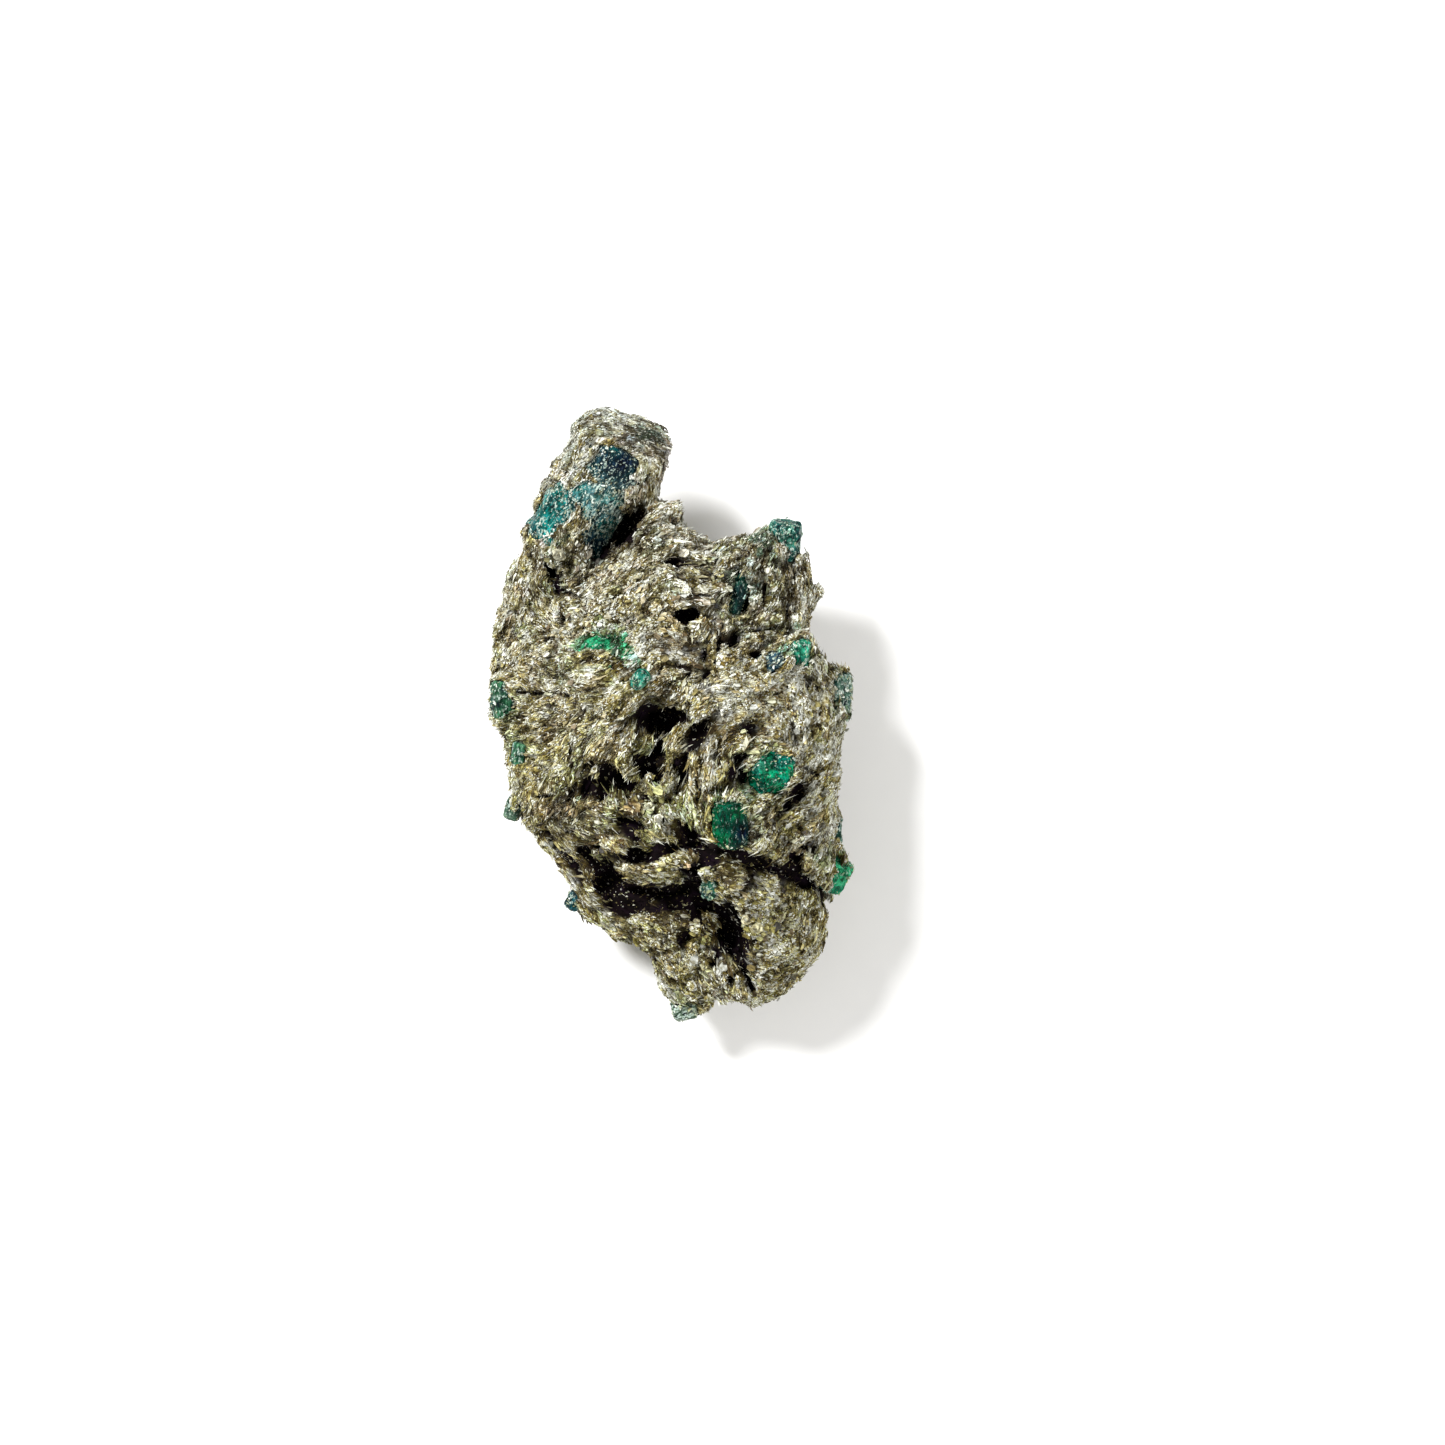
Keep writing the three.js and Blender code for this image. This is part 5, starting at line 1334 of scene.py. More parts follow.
def rock_colour(p, rng, jitter, hue, lit=0.0):
    """Pigment at points p, with painted shade in the hollows, along the seams between bundles and between clumps."""
    big, first, second, _ = coarse.nearest(p)
    # painted shade along the seams between bundles, where the surface dips between them
    painted_seam_shade = 0.75 * (1 - smoothstep(second - first, 0.0, 0.55))
    little, first, second, _ = small.nearest(p)
    painted_seam_shade = np.maximum(painted_seam_shade, 0.60 * (1 - smoothstep(second - first, 0.0, 0.30)))
    painted_seam_shade = painted_seam_shade * smoothstep(noise(p[:, 0] / 1.3, p[:, 1] / 1.3, p[:, 2] / 1.3, 43), -0.35, 0.25) * smoothstep(p[:, 2], 0.5, 2.0)
    tint = np.where((small.random[little, 5] < 0.5)[:, None], pigments["coarse"][big], pigments["small"][little])
    _, mean = minerals(p, rng)
    tint = 0.62 * tint + 0.38 * mean
    tint = tint * np.exp(rng.normal(0, jitter, (len(p), 1)) * WARM) * np.exp(rng.normal(0, hue, (len(p), 3)))
    # clumps: drawn out along the streaks in the fibrous parts, round in the crumbly ones
    along, _, _ = foliation(p)
    drawn = (0.30 * (1 - crumbly_at(p)))[:, None]
    clump = sum(noise(*((p + along * s * drawn) / 0.40).T, 44) for s in (-1, 0, 1)) / 3
    patchy = noise(*((p + along * 0.5) / 1.3).T, 45)
    # painted shade: the seams and the low parts of the clump noise are darkened as the shade between crumbs
    value = np.exp(1.35 * clump + 0.60 * patchy) * np.power(1 - painted_seam_shade, 1.2) * (1 - 0.65 * smoothstep(-clump, 0.14, 0.30))
    tint = GAIN * tint * value[:, None] ** WARM
    # stained mica is yellower the darker it is, and more so at the lower end
    green = tint[:, 1]
    ratio = np.interp(np.log(0.75 * green + 1e-4), np.log([0.03, 0.07, 0.20, 0.37, 0.52]), [0.36, 0.42, 0.60, 0.76, 0.86])
    ratio = ratio * np.interp(p[:, 1], [-20, -8, 1.4, 11, 20.8, 28], [0.70, 0.72, 0.88, 1.15, 1.60, 1.85])
    ratio = np.minimum(ratio, np.interp(p[:, 1], [18, 25], [0.96, 1.08]))
    green_mica = np.clip(tint[:, 1] / np.maximum(tint[:, 0], 1e-4) - 1.1, 0, 1)
    mixed = np.interp(p[:, 1], [-10, 10], [0.75, 0.60]) * np.clip(1 - 1.5 * green_mica, 0, 1)
    tint[:, 2] = (1 - mixed) * np.minimum(tint[:, 2], 0.97 * green) + mixed * ratio * green
    # blotches of greener, greyer and rosier mica
    rosy = noise(*(p / 1.7).T, 46)
    yellow = noise(*(p / 1.2).T, 47)
    rosy = rosy * (1 - 0.8 * smoothstep(p[:, 1], 14, 20))
    tint = tint * np.exp(np.stack([0.13 * rosy, -0.03 * rosy + 0.03 * yellow, -0.05 * rosy - 0.20 * yellow], 1))
    most_blue = np.interp(p[:, 1], [-6, 6, 18, 25], [0.86, 0.92, 0.97, 1.08]) * tint[:, 1]
    tint[:, 2] = np.where(tint[:, 2] > most_blue, 0.15 * tint[:, 2] + 0.85 * most_blue, tint[:, 2])
    tint[:, 0] = np.where(tint[:, 0] > 1.12 * tint[:, 1], 0.35 * tint[:, 0] + 0.65 * 1.12 * tint[:, 1], tint[:, 0])
    for x, y, rx, ry, heading, stain, strength in STAINS:
        c, s = math.cos(rad(heading)), math.sin(rad(heading))
        u, v = (p[:, 0] - x) * c + (p[:, 1] - y) * s, (p[:, 1] - y) * c - (p[:, 0] - x) * s
        w = strength * smoothstep(1.15 - np.hypot(u / rx, v / ry) + 0.5 * clump + 0.5 * yellow, -0.1, 0.5) * smoothstep(p[:, 2], 5, 9)
        tint = tint * (1 - w[:, None]) + stain * w[:, None] * np.clip(value, 0.5, 1.6)[:, None]
    tint = np.minimum(tint * [0.965, 1.01, 0.99], [0.68, 0.70, 0.64])
    # painted shade: the deeper a point lies under the rock's general surface, the darker it is painted, first
    # olive-brown, then near-black
    under = sample_grid(nominal, LOW, CELL, p)
    soil_and_shade = smoothstep(under, 0.20, 0.75)[:, None] * 0.85
    dark = smoothstep(under, 0.50, 1.25)[:, None] * (1 - lit)
    tint = tint * (1 - soil_and_shade) + (0.35 * tint + 0.65 * SOIL_AND_HOLLOW_SHADE) * soil_and_shade
    return tint * (1 - dark) + HOLLOW_SHADE * dark, dark[:, 0]


rng = np.random.default_rng(7)
tint, dark = rock_colour(verts, rng, 0.10, 0.02)
# painted shade and light: the grooves between the streak ridges darker, the ridges paler
tint = tint * np.power(np.clip(0.60 + 0.60 * ridge, 0.15, 1.3)[:, None], WARM)
rock = new_mesh("schist_rock", verts, quads, smooth=True)
put(rock, "tint", "FLOAT_COLOR", "POINT", rgba(tint))
# faces painted darkest with hollow shade take the matte hollow material
rock.data.polygons.foreach_set("material_index", (dark[quads].mean(1) > 0.45).astype(np.int32))

# each face takes its streaks from the bundle that it is in
mid = verts[quads].mean(1)
own = small.nearest(mid)[0]
ft, fb, fn = small.t[own], small.b[own], small.n[own]
corner = verts[quads] - small.seeds[own][:, None]
grain = np.stack([(corner * a[:, None]).sum(2) for a in (ft, fb, fn)], 2) + small.random[own][:, None, :3] * 90
put(rock, "grain", "FLOAT_VECTOR", "CORNER", grain.reshape(-1, 3))

# ---------------------------------------------------------------- mica on the surface


class Surface:
    """Faces to scatter mica on."""

    def __init__(self, verts, quads, weight=None):
        self.verts, self.quads = verts, quads
        n = np.cross(verts[quads[:, 2]] - verts[quads[:, 0]], verts[quads[:, 3]] - verts[quads[:, 1]])
        self.area = np.linalg.norm(n, axis=1) / 2
        self.normal = unit(n)
        self.flow = self.normal
        self.total = np.cumsum(self.area * (1 if weight is None else weight))

    def scatter(self, count, rng):
        at = np.searchsorted(self.total, rng.random(count) * self.total[-1]).clip(0, len(self.quads) - 1)
        u, v = rng.random((2, count, 1))
        q = self.verts[self.quads[at]]
        return at, (q[:, 0] * (1 - u) + q[:, 1] * u) * (1 - v) + (q[:, 3] * (1 - u) + q[:, 2] * u) * v


flow = normals  # the way the surface faces on the whole
for _ in range(4):
    around = np.zeros_like(flow)
    middle = flow[quads].mean(1)
    for k in range(4):
        np.add.at(around, quads[:, k], middle)
    flow = unit(around)
flow = unit(flow[quads].mean(1))

under = sample_grid(nominal, LOW, CELL, mid)
bare = smoothstep(under, 0.45, 1.2)
face_gap = gap_to_crystal[quads].mean(1)
free = smoothstep(face_gap, 0.0, 0.35) * np.where(mid[:, 2] < 0.12, 0.25, 1.0) * np.where(mid[:, 2] < 3, 0.75, 1.0)
crumbly = crumbly_at(mid)
skin = Surface(verts, quads, free * (1 - 0.93 * bare) * (1 - 0.7 * crumbly))
crumb_skin = Surface(verts, quads, free * (1 - 0.93 * bare) * (0.6 + 1.6 * crumbly))
book_skin = Surface(verts, quads, free * (1 - 0.95 * bare) * (0.4 + 3.0 * crumbly))
pit_rim = Surface(verts, quads, free * smoothstep(under, 0.15, 0.6) * (1 - smoothstep(under, 1.0, 2.2)) * smoothstep(mid[:, 2], 2.5, 5))
pit_floor = Surface(verts, quads, free * smoothstep(under, 0.7, 1.4) * smoothstep(mid[:, 2], 2.0, 4))
skin.flow = crumb_skin.flow = book_skin.flow = pit_rim.flow = pit_floor.flow = flow


def lay(surface, count, rng, long, wide, thick, lift, lean, turn, face_mix, flush):
    """Places for plates: middle, axes and sizes. flush 1 lays the streaks in the surface."""
    at, p = surface.scatter(count, rng)
    n = surface.flow[at]
    own = small.nearest(p)[0]
    t, f, r = small.t[own], small.n[own], small.rough[own]
    smooth_t, smooth_f, _ = foliation(p)
    mix = np.clip(0.75 * r, 0.25, 0.9)[:, None]
    t = mix * t + (1 - mix) * smooth_t * np.sign((smooth_t * t).sum(1, keepdims=True))
    f = mix * f + (1 - mix) * smooth_f * np.sign((smooth_f * f).sum(1, keepdims=True))
    f = np.where((f * n).sum(1, keepdims=True) < 0, -f, f)
    f = unit(f + face_mix * n + rng.normal(0, lean, p.shape))
    t = t - flush * (t * n).sum(1, keepdims=True) * n + rng.normal(0, turn, p.shape)
    t = t - 0.6 * flush * (t * n).sum(1, keepdims=True) * n
    t = unit(t - (t * f).sum(1, keepdims=True) * f)
    b = np.cross(f, t)
    size = np.exp(rng.normal(0, 0.30, count)) * (0.45 + 0.55 * r)
    L = rng.uniform(*long, count) * size * (1 - 0.4 * crumbly_at(p))
    W = rng.uniform(*wide, count) * size
    H = rng.uniform(*thick, count)
    half = np.abs((t * n).sum(1)) * L / 2 * 0.9 + np.abs((b * n).sum(1)) * W / 2 * 0.9 + np.abs((f * n).sum(1)) * H / 2
    out = np.minimum(rng.uniform(lift[0], lift[1], count) * (0.3 + 0.7 * r), 1.4 * half)
    return p, p + n * np.maximum(out - half, -0.20)[:, None], n, t, b, f, L, W, H


def flake_colour(p, rng, jitter, lit=0.0):
    tint, dark = rock_colour(p, rng, jitter, 0.035, lit)
    dark = dark * (1 - lit)
    # painted glints: some flakes paled toward silver; painted shade: others darkened as the gaps between flakes
    pick = rng.random(len(p))[:, None]
    painted_glint = np.array([0.60, 0.61, 0.53]) * rng.uniform(0.8, 1.1, (len(p), 1))
    tint = np.where(pick < 0.12 * (1 - dark[:, None]), 0.35 * tint + 0.65 * painted_glint, tint)
    tint = np.where(pick > 0.83, tint * np.array([0.22, 0.17, 0.11]), tint)
    return tint, dark


def needles(name, centre, t, b, n, long, wide, high, tint, dark, rng):
    """Closed four-faced splinters: a ridge above and a keel across it below."""
    m = len(centre)
    j = rng.uniform(-0.35, 0.35, (4, m, 1))
    L, W, H = long[:, None] / 2, wide[:, None] / 2, high[:, None] / 2
    ends = np.stack([
        centre - t * L * (1 + j[0] * 0.4) + n * H * (0.7 + j[1]) + b * W * j[2],
        centre + t * L * (1 + j[1] * 0.4) + n * H * (0.7 + j[0]) + b * W * j[3],
        centre - b * W - n * H + t * L * j[2],
        centre + b * W - n * H + t * L * j[3],
    ], 1).reshape(-1, 3)
    ends[:, 2] = np.maximum(ends[:, 2], 0.0)
    faces = (np.array([0, 2, 1, 0, 1, 3, 0, 3, 2, 1, 2, 3])[None] + (np.arange(m) * 4)[:, None]).reshape(-1)
    obj = new_mesh(name, ends, faces, np.full(4 * m, 3))
    obj.data.polygons.foreach_set("material_index", np.repeat(dark > 0.35, 4).astype(np.int32))
    put(obj, "tint", "FLOAT_COLOR", "POINT", rgba(np.repeat(tint, 4, 0)))
    local = np.stack([np.stack([-L, 0 * L, H], 2), np.stack([L, 0 * L, H], 2), np.stack([0 * L, -W, -H], 2), np.stack([0 * L, W, -H], 2)], 1)[:, :, 0]
    put(obj, "grain", "FLOAT_VECTOR", "POINT", (local + rng.uniform(-60, 60, (m, 1, 3))).reshape(-1, 3))
    return obj


share = 1.0
flakes = []
for name, surface, count, long, wide, high, lift, turn, jitter, lit, seed in (
    # name, where, how many, length, width, height, how far out, turn, contrast, how lit in the hollows
    ("mica_bundles", skin, 3000, (0.6, 1.4), (0.14, 0.24), (0.18, 0.28), (0.00, 0.07), 0.14, 0.30, 0.0, 100),
    ("mica_needles_a", skin, 26000, (0.45, 1.25), (0.06, 0.115), (0.10, 0.18), (0.00, 0.06), 0.14, 0.70, 0.0, 101),
    ("mica_needles_b", skin, 34000, (0.25, 0.65), (0.06, 0.115), (0.10, 0.18), (0.00, 0.06), 0.35, 0.75, 0.0, 102),
    ("mica_crumbs", crumb_skin, 49000, (0.14, 0.38), (0.10, 0.22), (0.12, 0.24), (0.00, 0.08), 0.90, 0.70, 0.0, 105),
    ("mica_strands", pit_rim, 5000, (0.6, 1.7), (0.07, 0.14), (0.10, 0.18), (0.03, 0.30), 0.40, 0.50, 0.75, 106),
    ("mica_specks", pit_floor, 4000, (0.15, 0.40), (0.10, 0.22), (0.10, 0.20), (0.02, 0.12), 0.90, 0.80, 0.80, 107),
):
    rng = np.random.default_rng(seed)
    p, c, n, t, b, f, L, W, H = lay(surface, int(count * share), rng, long, wide, high, lift, 0.2, turn, 0.3, 0.95)
    if name == "mica_needles_a":
        n = -n  # the long splinters show their ridge
    up = unit(n - (n * t).sum(1, keepdims=True) * t + 0.2 * f)
    up = unit(up - (up * t).sum(1, keepdims=True) * t)
    c = p + n * (rng.uniform(*lift, len(p)) - 0.35 * H)[:, None]
    flakes.append(needles(name, c, t, np.cross(up, t), up, L, W, H, *flake_colour(p, rng, jitter, lit), rng))
for name, count, sides, long, wide, thick, lift, lean, turn, mix, seed in (
    # name, how many, sides, length, width, thickness, how far out, lean, turn, how much along the surface
    ("mica_scales", 6000, 4, (0.35, 0.9), (0.20, 0.5), (0.05, 0.10), (0.01, 0.10), 0.30, 0.5, 0.8, 103),
    ("mica_books", 700, 6, (0.5, 1.0), (0.35, 0.7), (0.10, 0.22), (0.02, 0.14), 0.22, 0.35, 0.7, 104),
):
    rng = np.random.default_rng(seed)
    p, c, n, t, b, f, L, W, H = lay(book_skin, int(count * share), rng, long, wide, thick, lift, lean, turn, mix, 0.5)
    tint, dark = flake_colour(p, rng, 0.30 if sides == 4 else 0.12)
    tint = tint * np.minimum(1, 0.36 / tint.max(1))[:, None]
    flakes.append(plates(name, c, t, b, f, L, W, H, sides, tint, rng))
    flakes[-1].data.polygons.foreach_set("material_index", np.repeat(dark > 0.35, sides + 2).astype(np.int32))

# large books: a few plates on each other, the upper ones smaller
rng = np.random.default_rng(11)
parts = []
up_facing = normals[:, 2] < -0.15
for x, y, r in ROSETTES:
    near_by = up_facing & (np.hypot(verts[:, 0] - x, verts[:, 1] - y) < 0.5)
    if not near_by.any():
        continue
    i = np.flatnonzero(near_by)[verts[near_by, 2].argmax()]
    n = unit((-0.5 * normals[i] + np.array([0, 0, 0.6]) + rng.normal(0, 0.16, 3))[None])[0]
    turned = rng.uniform(0, 2 * math.pi)
    for k, s in enumerate((1.0, 0.80, 0.58, 0.34)):
        f = unit((n + rng.normal(0, 0.09, 3))[None])[0]
        t = unit(np.cross(f, [math.cos(turned + k), math.sin(turned + k), 0.2])[None])[0]
        at = verts[i] + n * (0.18 + 0.08 * k) + t * rng.uniform(-0.12, 0.12) * r
        parts.append([at, t, np.cross(f, t), f, 2 * r * s * rng.uniform(0.9, 1.15), 1.7 * r * s * rng.uniform(0.85, 1.1), 0.16])
c, t, b, f, L, W, H = [np.array(v, float) for v in zip(*parts)]
tint = (0.4 * rock_colour(c, rng, 0.05, 0.02)[0] + 0.6 * np.array([0.42, 0.41, 0.31])) * np.tile([1.15, 0.50, 1.05, 0.42], len(c) // 4)[:, None]
flakes.append(plates("mica_rosettes", c, t, b, f, L, W, H, 14, tint, rng))

# ---------------------------------------------------------------- crystal meshes

crystals = []
dusting = []
for number, row in enumerate(CRYSTALS):
    name, cx, cy, cz, heading, rise, roll, radius, length = row
    cell = (0.24 if radius > 4 else 0.165) * 1
    low = np.array([-radius - 0.5, -radius - 0.5, -length / 2 - 0.5])
    n = np.ceil((-2 * low) / cell).astype(int) + 1
    q = np.stack(np.meshgrid(*[low[k] + np.arange(n[k]) * cell for k in range(3)], indexing="ij"), 3)
    cv, cq = surface_net(-worn_prism(q, radius, length, number).astype(np.float32), low, cell)
    cv = relax(cv, cq, 2, 0.4)
    place = cv @ crystal_frame(row).T + np.array([cx, cy, cz])
    place[:, 2] = np.maximum(place[:, 2], 0.0)
    main_c, second_c, dust = TINTS[name]
    a = smoothstep(noise(place[:, 0] / 1.3, place[:, 1] / 1.3, place[:, 2] / 1.3, 500 + number), -0.35, 0.35)[:, None]
    tint = np.array(main_c) * a + np.array(second_c) * (1 - a)
    dusty = np.full(len(place), dust)
    for x, y, rx, ry, c, strength in CRYSTAL_ZONES:
        w = np.exp(-(((place[:, 0] - x) / rx) ** 2 + ((place[:, 1] - y) / ry) ** 2)) * strength
        if np.hypot(x - cx, y - cy) < length / 2 + radius:
            tint = tint * (1 - w[:, None]) + np.array(c[:3]) * w[:, None]
            dusty = dusty * (1 - w) + c[3] * w
    tint = np.concatenate([np.clip(tint, 0, 1), dusty[:, None]], 1)
    obj = new_mesh(name + "_crystal", place, cq, smooth=True)
    put(obj, "tint", "FLOAT_COLOR", "POINT", tint)
    put(obj, "grain", "FLOAT_VECTOR", "POINT", cv + number * 7.3)
    crystals.append((obj, name))
    spot = place[cq].mean(1)
    open_part = window(name, row, spot[:, 0], spot[:, 1])
    dusted = 0.7 * smoothstep(noise(spot[:, 0] / 1.1, spot[:, 1] / 1.1, spot[:, 2] / 1.1, 700), 0.0, 0.35) + 0.08
    rim_flecks = 0.9 if radius > 4 else 0.35
    face = Surface(place, cq, dusty[cq].mean(1) * dusted + rim_flecks * smoothstep(-open_part, -0.30, 0.1))
    face.tint = tint[cq[:, 0], :3]
    count = int(face.total[-1] * (17.0 if radius > 4 else 12.0) * share)
    if count:
        dusting.append((face, count, number))

# flecks of mica on the crystals
parts = []
for face, count, number in dusting:
    rng = np.random.default_rng(600 + number)
    p, c, n, t, b, f, L, W, H = lay(face, count, rng, (0.15, 0.42), (0.09, 0.24), (0.04, 0.10), (0.01, 0.08), 0.25, 0.8, 2.5, 0.9)
    own_tint = face.tint[np.searchsorted(face.total, rng.random(len(p)) * face.total[-1]).clip(0, len(face.tint) - 1)]
    tint = flake_colour(p, rng, 0.45)[0] * 0.6 + (np.array([0.12, 0.18, 0.15]) + own_tint) * 0.4
    above = sample_grid(field, LOW, CELL, p) < 0.1
    parts.append([v[above] for v in (c, t, b, f, L, W, H, tint)])
parts = [np.concatenate(v) for v in zip(*parts)]
flakes.append(plates("mica_flecks", *parts[:4], *parts[4:7], 4, parts[7], np.random.default_rng(9)))

# ---------------------------------------------------------------- materials


class Tree:
    """Short hand for building a node tree."""

    def __init__(self, name):
        self.material = bpy.data.materials.new(name)
        self.material.use_nodes = True
        self.nodes = self.material.node_tree.nodes
        self.links = self.material.node_tree.links
        self.nodes.clear()
        self.out = self.nodes.new("ShaderNodeOutputMaterial")
        self.shader = self.nodes.new("ShaderNodeBsdfPrincipled")
        self.links.new(self.shader.outputs[0], self.out.inputs["Surface"])

    def node(self, kind, ins=None, **props):
        n = self.nodes.new(kind)
        for k, v in props.items():
            setattr(n, k, v)
        for k, v in (ins or {}).items():
            if isinstance(v, bpy.types.NodeSocket):
                self.links.new(v, n.inputs[k])
            else:
                n.inputs[k].default_value = v
        return n

    def attribute(self, name):
        return self.node("ShaderNodeAttribute", attribute_name=name)

    def scaled(self, vector, scale):
        return self.node("ShaderNodeVectorMath", {0: vector, 1: scale}, operation="MULTIPLY").outputs[0]

    def noise(self, vector, scale=1.0, detail=2.0, rough=0.5):
        return self.node("ShaderNodeTexNoise", {"Vector": vector, "Scale": scale, "Detail": detail, "Roughness": rough}).outputs[0]

    def ramp(self, value, low, high, a, b):
        return self.node("ShaderNodeMapRange", {"Value": value, "From Min": low, "From Max": high, "To Min": a, "To Max": b}).outputs[0]

    def math(self, op, a, b=0.0):
        return self.node("ShaderNodeMath", {0: a, 1: b}, operation=op).outputs[0]

    def mix(self, factor, a, b, mode="MIX"):
        n = self.node("ShaderNodeMix", data_type="RGBA", blend_type=mode)
        for key, v in ((0, factor), (6, a), (7, b)):
            if isinstance(v, bpy.types.NodeSocket):
                self.links.new(v, n.inputs[key])
            else:
                n.inputs[key].default_value = v
        return n.outputs[2]


def mica_material(name, low, high, gap, speck, rough, gloss, bump_height, crumbly):
    """Mica: streaks along each bundle, painted shade in the gaps between them, specks of biotite, painted glints, satin
    faces.
    """
    m = Tree(name)
    tint = m.attribute("tint").outputs["Color"]
    grain = m.attribute("grain").outputs["Vector"]
    streak = m.noise(m.scaled(grain, (0.8, 2.6, 4.6)), 1.0, 2.0, 0.6)
    fibre = m.noise(m.scaled(grain, (1.8, 6.0, 9.5)), 1.0, 2.0, 0.6)
    crumb = m.noise(m.scaled(grain, (2.6, 3.6, 4.4)), 1.0, 2.0, 0.6)
    value = m.math("MULTIPLY", m.ramp(streak, 0.36, 0.64, low, high), m.ramp(fibre, 0.36, 0.64, 0.62, 1.38))
    value = m.math("MULTIPLY", value, m.ramp(crumb, 0.34, 0.66, 1 - crumbly, 1 + crumbly))
    dim = m.math("MINIMUM", value, 1.0)
    shade = m.node("ShaderNodeCombineColor", {0: m.math("MULTIPLY", value, m.math("POWER", dim, -0.12)), 1: value, 2: m.math("MULTIPLY", value, m.math("POWER", dim, 0.42))}).outputs[0]
    base = m.mix(1.0, m.mix(1.0, tint, shade, "MULTIPLY"), (0.80, 0.82, 0.76, 1), "DARKEN")
    gap_shade_noise = m.noise(m.scaled(grain, (0.7, 1.6, 3.4)), 1.0, 3.0, 0.65)
    # painted shade: near-black in the narrow gaps between the streaks
    base = m.mix(m.ramp(gap_shade_noise, gap, gap - 0.06, 0.0, 0.88), base, (0.018, 0.011, 0.005, 1))
    spots = m.noise(m.scaled(grain, (2.0, 3.0, 3.6)), 1.3, 2.0, 0.5)
    base = m.mix(m.ramp(spots, speck, speck + 0.05, 0.0, 0.85), base, (0.022, 0.015, 0.008, 1))
    # painted glints: pale specks mixed into the colour
    glint = m.noise(m.scaled(grain, (2.4, 5.0, 8.0)), 1.0, 1.0, 0.5)
    base = m.mix(m.ramp(glint, 0.66, 0.72, 0.0, 0.45), base, (0.62, 0.62, 0.55, 1))
    m.links.new(base, m.shader.inputs["Base Color"])
    m.links.new(m.ramp(fibre, 0.35, 0.65, rough + 0.12, rough - 0.12), m.shader.inputs["Roughness"])
    m.shader.inputs["Specular IOR Level"].default_value = gloss
    bump = m.node("ShaderNodeBump", {"Height": m.math("ADD", m.math("ADD", streak, m.math("MULTIPLY", fibre, 0.7)), m.math("MULTIPLY", crumb, 2.0 * crumbly)), "Strength": 1.0, "Distance": bump_height})
    m.links.new(bump.outputs[0], m.shader.inputs["Normal"])
    return m.material


def beryl_material():
    """Beryl: clouded green with dark flaws, fine pale grains and mica dust on worn, glossy faces."""
    m = Tree("emerald_beryl")
    attr = m.attribute("tint")
    tint, dust = attr.outputs["Color"], attr.outputs["Alpha"]
    grain = m.attribute("grain").outputs["Vector"]
    cloud = m.noise(grain, 1.2, 3.0, 0.65)
    fine = m.noise(m.scaled(grain, (1.0, 1.0, 0.45)), 3.4, 3.0, 0.7)
    value = m.math("MULTIPLY", m.ramp(cloud, 0.35, 0.65, 0.30, 1.75), m.ramp(fine, 0.38, 0.62, 0.30, 1.80))
    shade = m.node("ShaderNodeCombineColor", {0: m.math("POWER", value, 1.3), 1: value, 2: m.math("POWER", value, 1.1)}).outputs[0]
    base = m.mix(1.0, tint, shade, "MULTIPLY")
    flaws = m.noise(m.scaled(grain, (1.0, 1.0, 0.6)), 2.6, 2.0, 0.6)
    base = m.mix(m.math("MULTIPLY", m.ramp(flaws, 0.54, 0.62, 0.0, 0.9), m.ramp(dust, 0.1, 0.8, 0.45, 1.0)), base, (0.004, 0.006, 0.012, 1))
    grains = m.noise(m.scaled(grain, (1.0, 1.0, 0.7)), 3.6, 3.0, 0.75)
    patch = m.noise(grain, 0.75, 2.0, 0.5)
    grains_here = m.math("ADD", grains, m.math("MULTIPLY", dust, m.ramp(patch, 0.38, 0.60, 0.03, 0.15)))
    amount = m.math("MULTIPLY", m.ramp(grains_here, 0.60, 0.66, 0.0, 0.95), m.ramp(dust, 0.0, 0.4, 0.6, 1.0))
    base = m.mix(amount, base, (0.40, 0.50, 0.44, 1))
    m.links.new(base, m.shader.inputs["Base Color"])
    m.links.new(m.math("ADD", m.ramp(dust, 0.2, 0.9, 0.22, 0.42), m.math("MULTIPLY", amount, 0.3)), m.shader.inputs["Roughness"])
    m.shader.inputs["IOR"].default_value = 1.58
    m.shader.inputs["Transmission Weight"].default_value = 0.01
    m.shader.inputs["Specular IOR Level"].default_value = 0.025
    bump = m.node("ShaderNodeBump", {"Height": m.math("ADD", fine, grains), "Strength": 1.0, "Distance": 0.00013})
    m.links.new(bump.outputs[0], m.shader.inputs["Normal"])
    return m.material


def hollow_material():
    """Matte finish for the faces painted with shade at the floor of the hollows."""
    m = Tree("mica_hollows")
    tint = m.attribute("tint").outputs["Color"]
    grain = m.attribute("grain").outputs["Vector"]
    value = m.ramp(m.noise(m.scaled(grain, (1.6, 5.0, 8.0)), 1.0, 2.0, 0.6), 0.35, 0.65, 0.35, 1.7)
    base = m.mix(1.0, tint, m.node("ShaderNodeCombineColor", {0: value, 1: value, 2: value}).outputs[0], "MULTIPLY")
    m.links.new(base, m.shader.inputs["Base Color"])
    m.shader.inputs["Roughness"].default_value = 0.85
    m.shader.inputs["Specular IOR Level"].default_value = 0.08
    return m.material


hollow = hollow_material()
flake_material = mica_material("mica_flakes", 0.44, 1.62, 0.30, 0.72, 0.46, 0.28, 0.00003, 0.2)
rock_material = mica_material("mica_schist_rock", 0.38, 1.70, 0.44, 0.62, 0.52, 0.14, 0.00022, 0.7)
beryl = beryl_material()

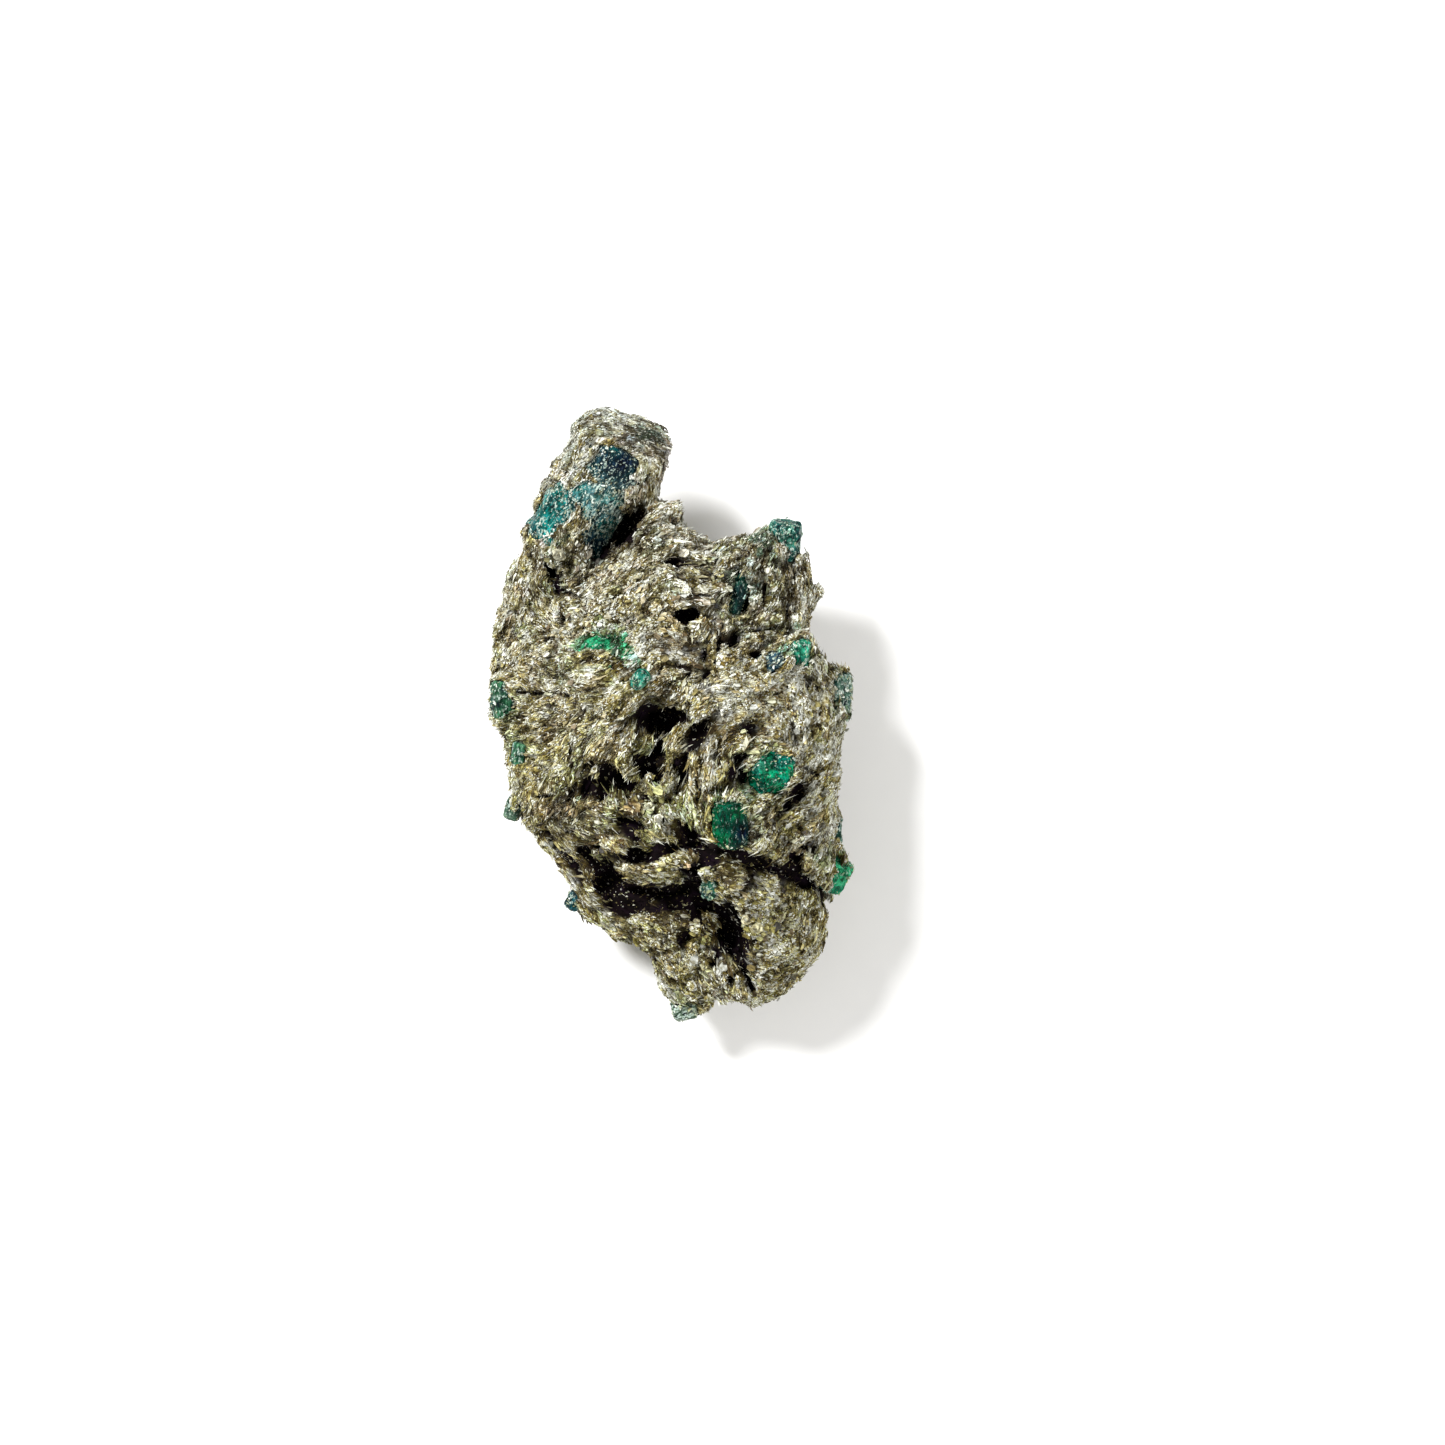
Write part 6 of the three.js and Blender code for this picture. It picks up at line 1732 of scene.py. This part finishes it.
rock.data.materials.append(rock_material)
rock.data.materials.append(hollow)
rock.data.flip_normals()  # the surface net winds its faces inward
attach(rock, "root")
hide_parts("mica_schist_matrix")
for obj in flakes:
    obj.data.materials.append(flake_material)
    obj.data.materials.append(hollow)
    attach(obj, "root")
for obj, node in crystals:
    obj.data.materials.append(beryl)
    obj.data.flip_normals()
    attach(obj, "root")
    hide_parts(node)

# ---------------------------------------------------------------- stage, light and camera


def plain(name, level, rough):
    m = Tree(name)
    m.shader.inputs["Roughness"].default_value = rough
    speck = m.noise(m.node("ShaderNodeTexCoord").outputs["Object"], 400.0, 2.0, 0.5)
    value = m.ramp(speck, 0.3, 0.7, level - 0.004, level + 0.004)
    m.links.new(m.node("ShaderNodeCombineColor", {0: value, 1: value, 2: value}).outputs[0], m.shader.inputs["Base Color"])
    m.shader.inputs["Specular IOR Level"].default_value = 0.1
    return m.material


bpy.ops.mesh.primitive_plane_add(size=3.0, location=(0, 0, -0.00002))
floor = bpy.context.object
floor.name = "floor"
floor.data.materials.append(plain("pale_floor", 0.93, 0.9))


def area_light(name, place, target, size, power, tint=(1, 1, 1)):
    light = bpy.data.lights.new(name, "AREA")
    light.shape = "DISK"
    light.size = size
    light.energy = power
    light.color = tint
    obj = bpy.data.objects.new(name, light)
    obj.location = place
    obj.rotation_mode = "QUATERNION"
    obj.rotation_quaternion = (Vector(target) - Vector(place)).to_track_quat("-Z", "Y")
    bpy.context.scene.collection.objects.link(obj)


area_light("key", (-0.42, 0.40, 0.60), (0, 0, 0.01), 0.24, 11.3)
area_light("fill", (0.55, -0.35, 0.60), (0, 0, 0.01), 0.45, 4.6)

world = bpy.data.worlds.new("studio")
bpy.context.scene.world = world
world.use_nodes = True
world.node_tree.nodes["Background"].inputs["Color"].default_value = (1, 1, 1, 1)
world.node_tree.nodes["Background"].inputs["Color"].default_value = (1.0, 0.98, 0.93, 1)
world.node_tree.nodes["Background"].inputs["Strength"].default_value = 0.44

camera = bpy.data.cameras.new("camera")
camera.lens = 100
camera.sensor_width = 36
camera_object = bpy.data.objects.new("camera", camera)
bpy.context.scene.collection.objects.link(camera_object)
K = 60 / 617 * 0.001  # metres to one pixel of a 1445 pixel frame, at the rock's widest height
camera_object.location = ((722.5 - 671) * K - CENTRE[0] * 0.001, (714 - 720.0) * K - CENTRE[1] * 0.001, 0.0095 + 1445 * K * 100 / 36)
camera_object.rotation_euler = (0, 0, 0)
camera.clip_start, camera.clip_end = 0.01, 5
bpy.context.scene.camera = camera_object

scene = bpy.context.scene
scene.view_settings.view_transform = "Standard"
scene.view_settings.look = "None"
scene.view_settings.exposure = 0.0
scene.view_settings.gamma = 1.0

for o in [rock, *flakes, *[c for c, _ in crystals]]:
    sizes = np.zeros(len(o.data.polygons), np.int32)
    o.data.polygons.foreach_get("loop_total", sizes)
    print("TRIANGLES", o.name, int((sizes - 2).sum()))
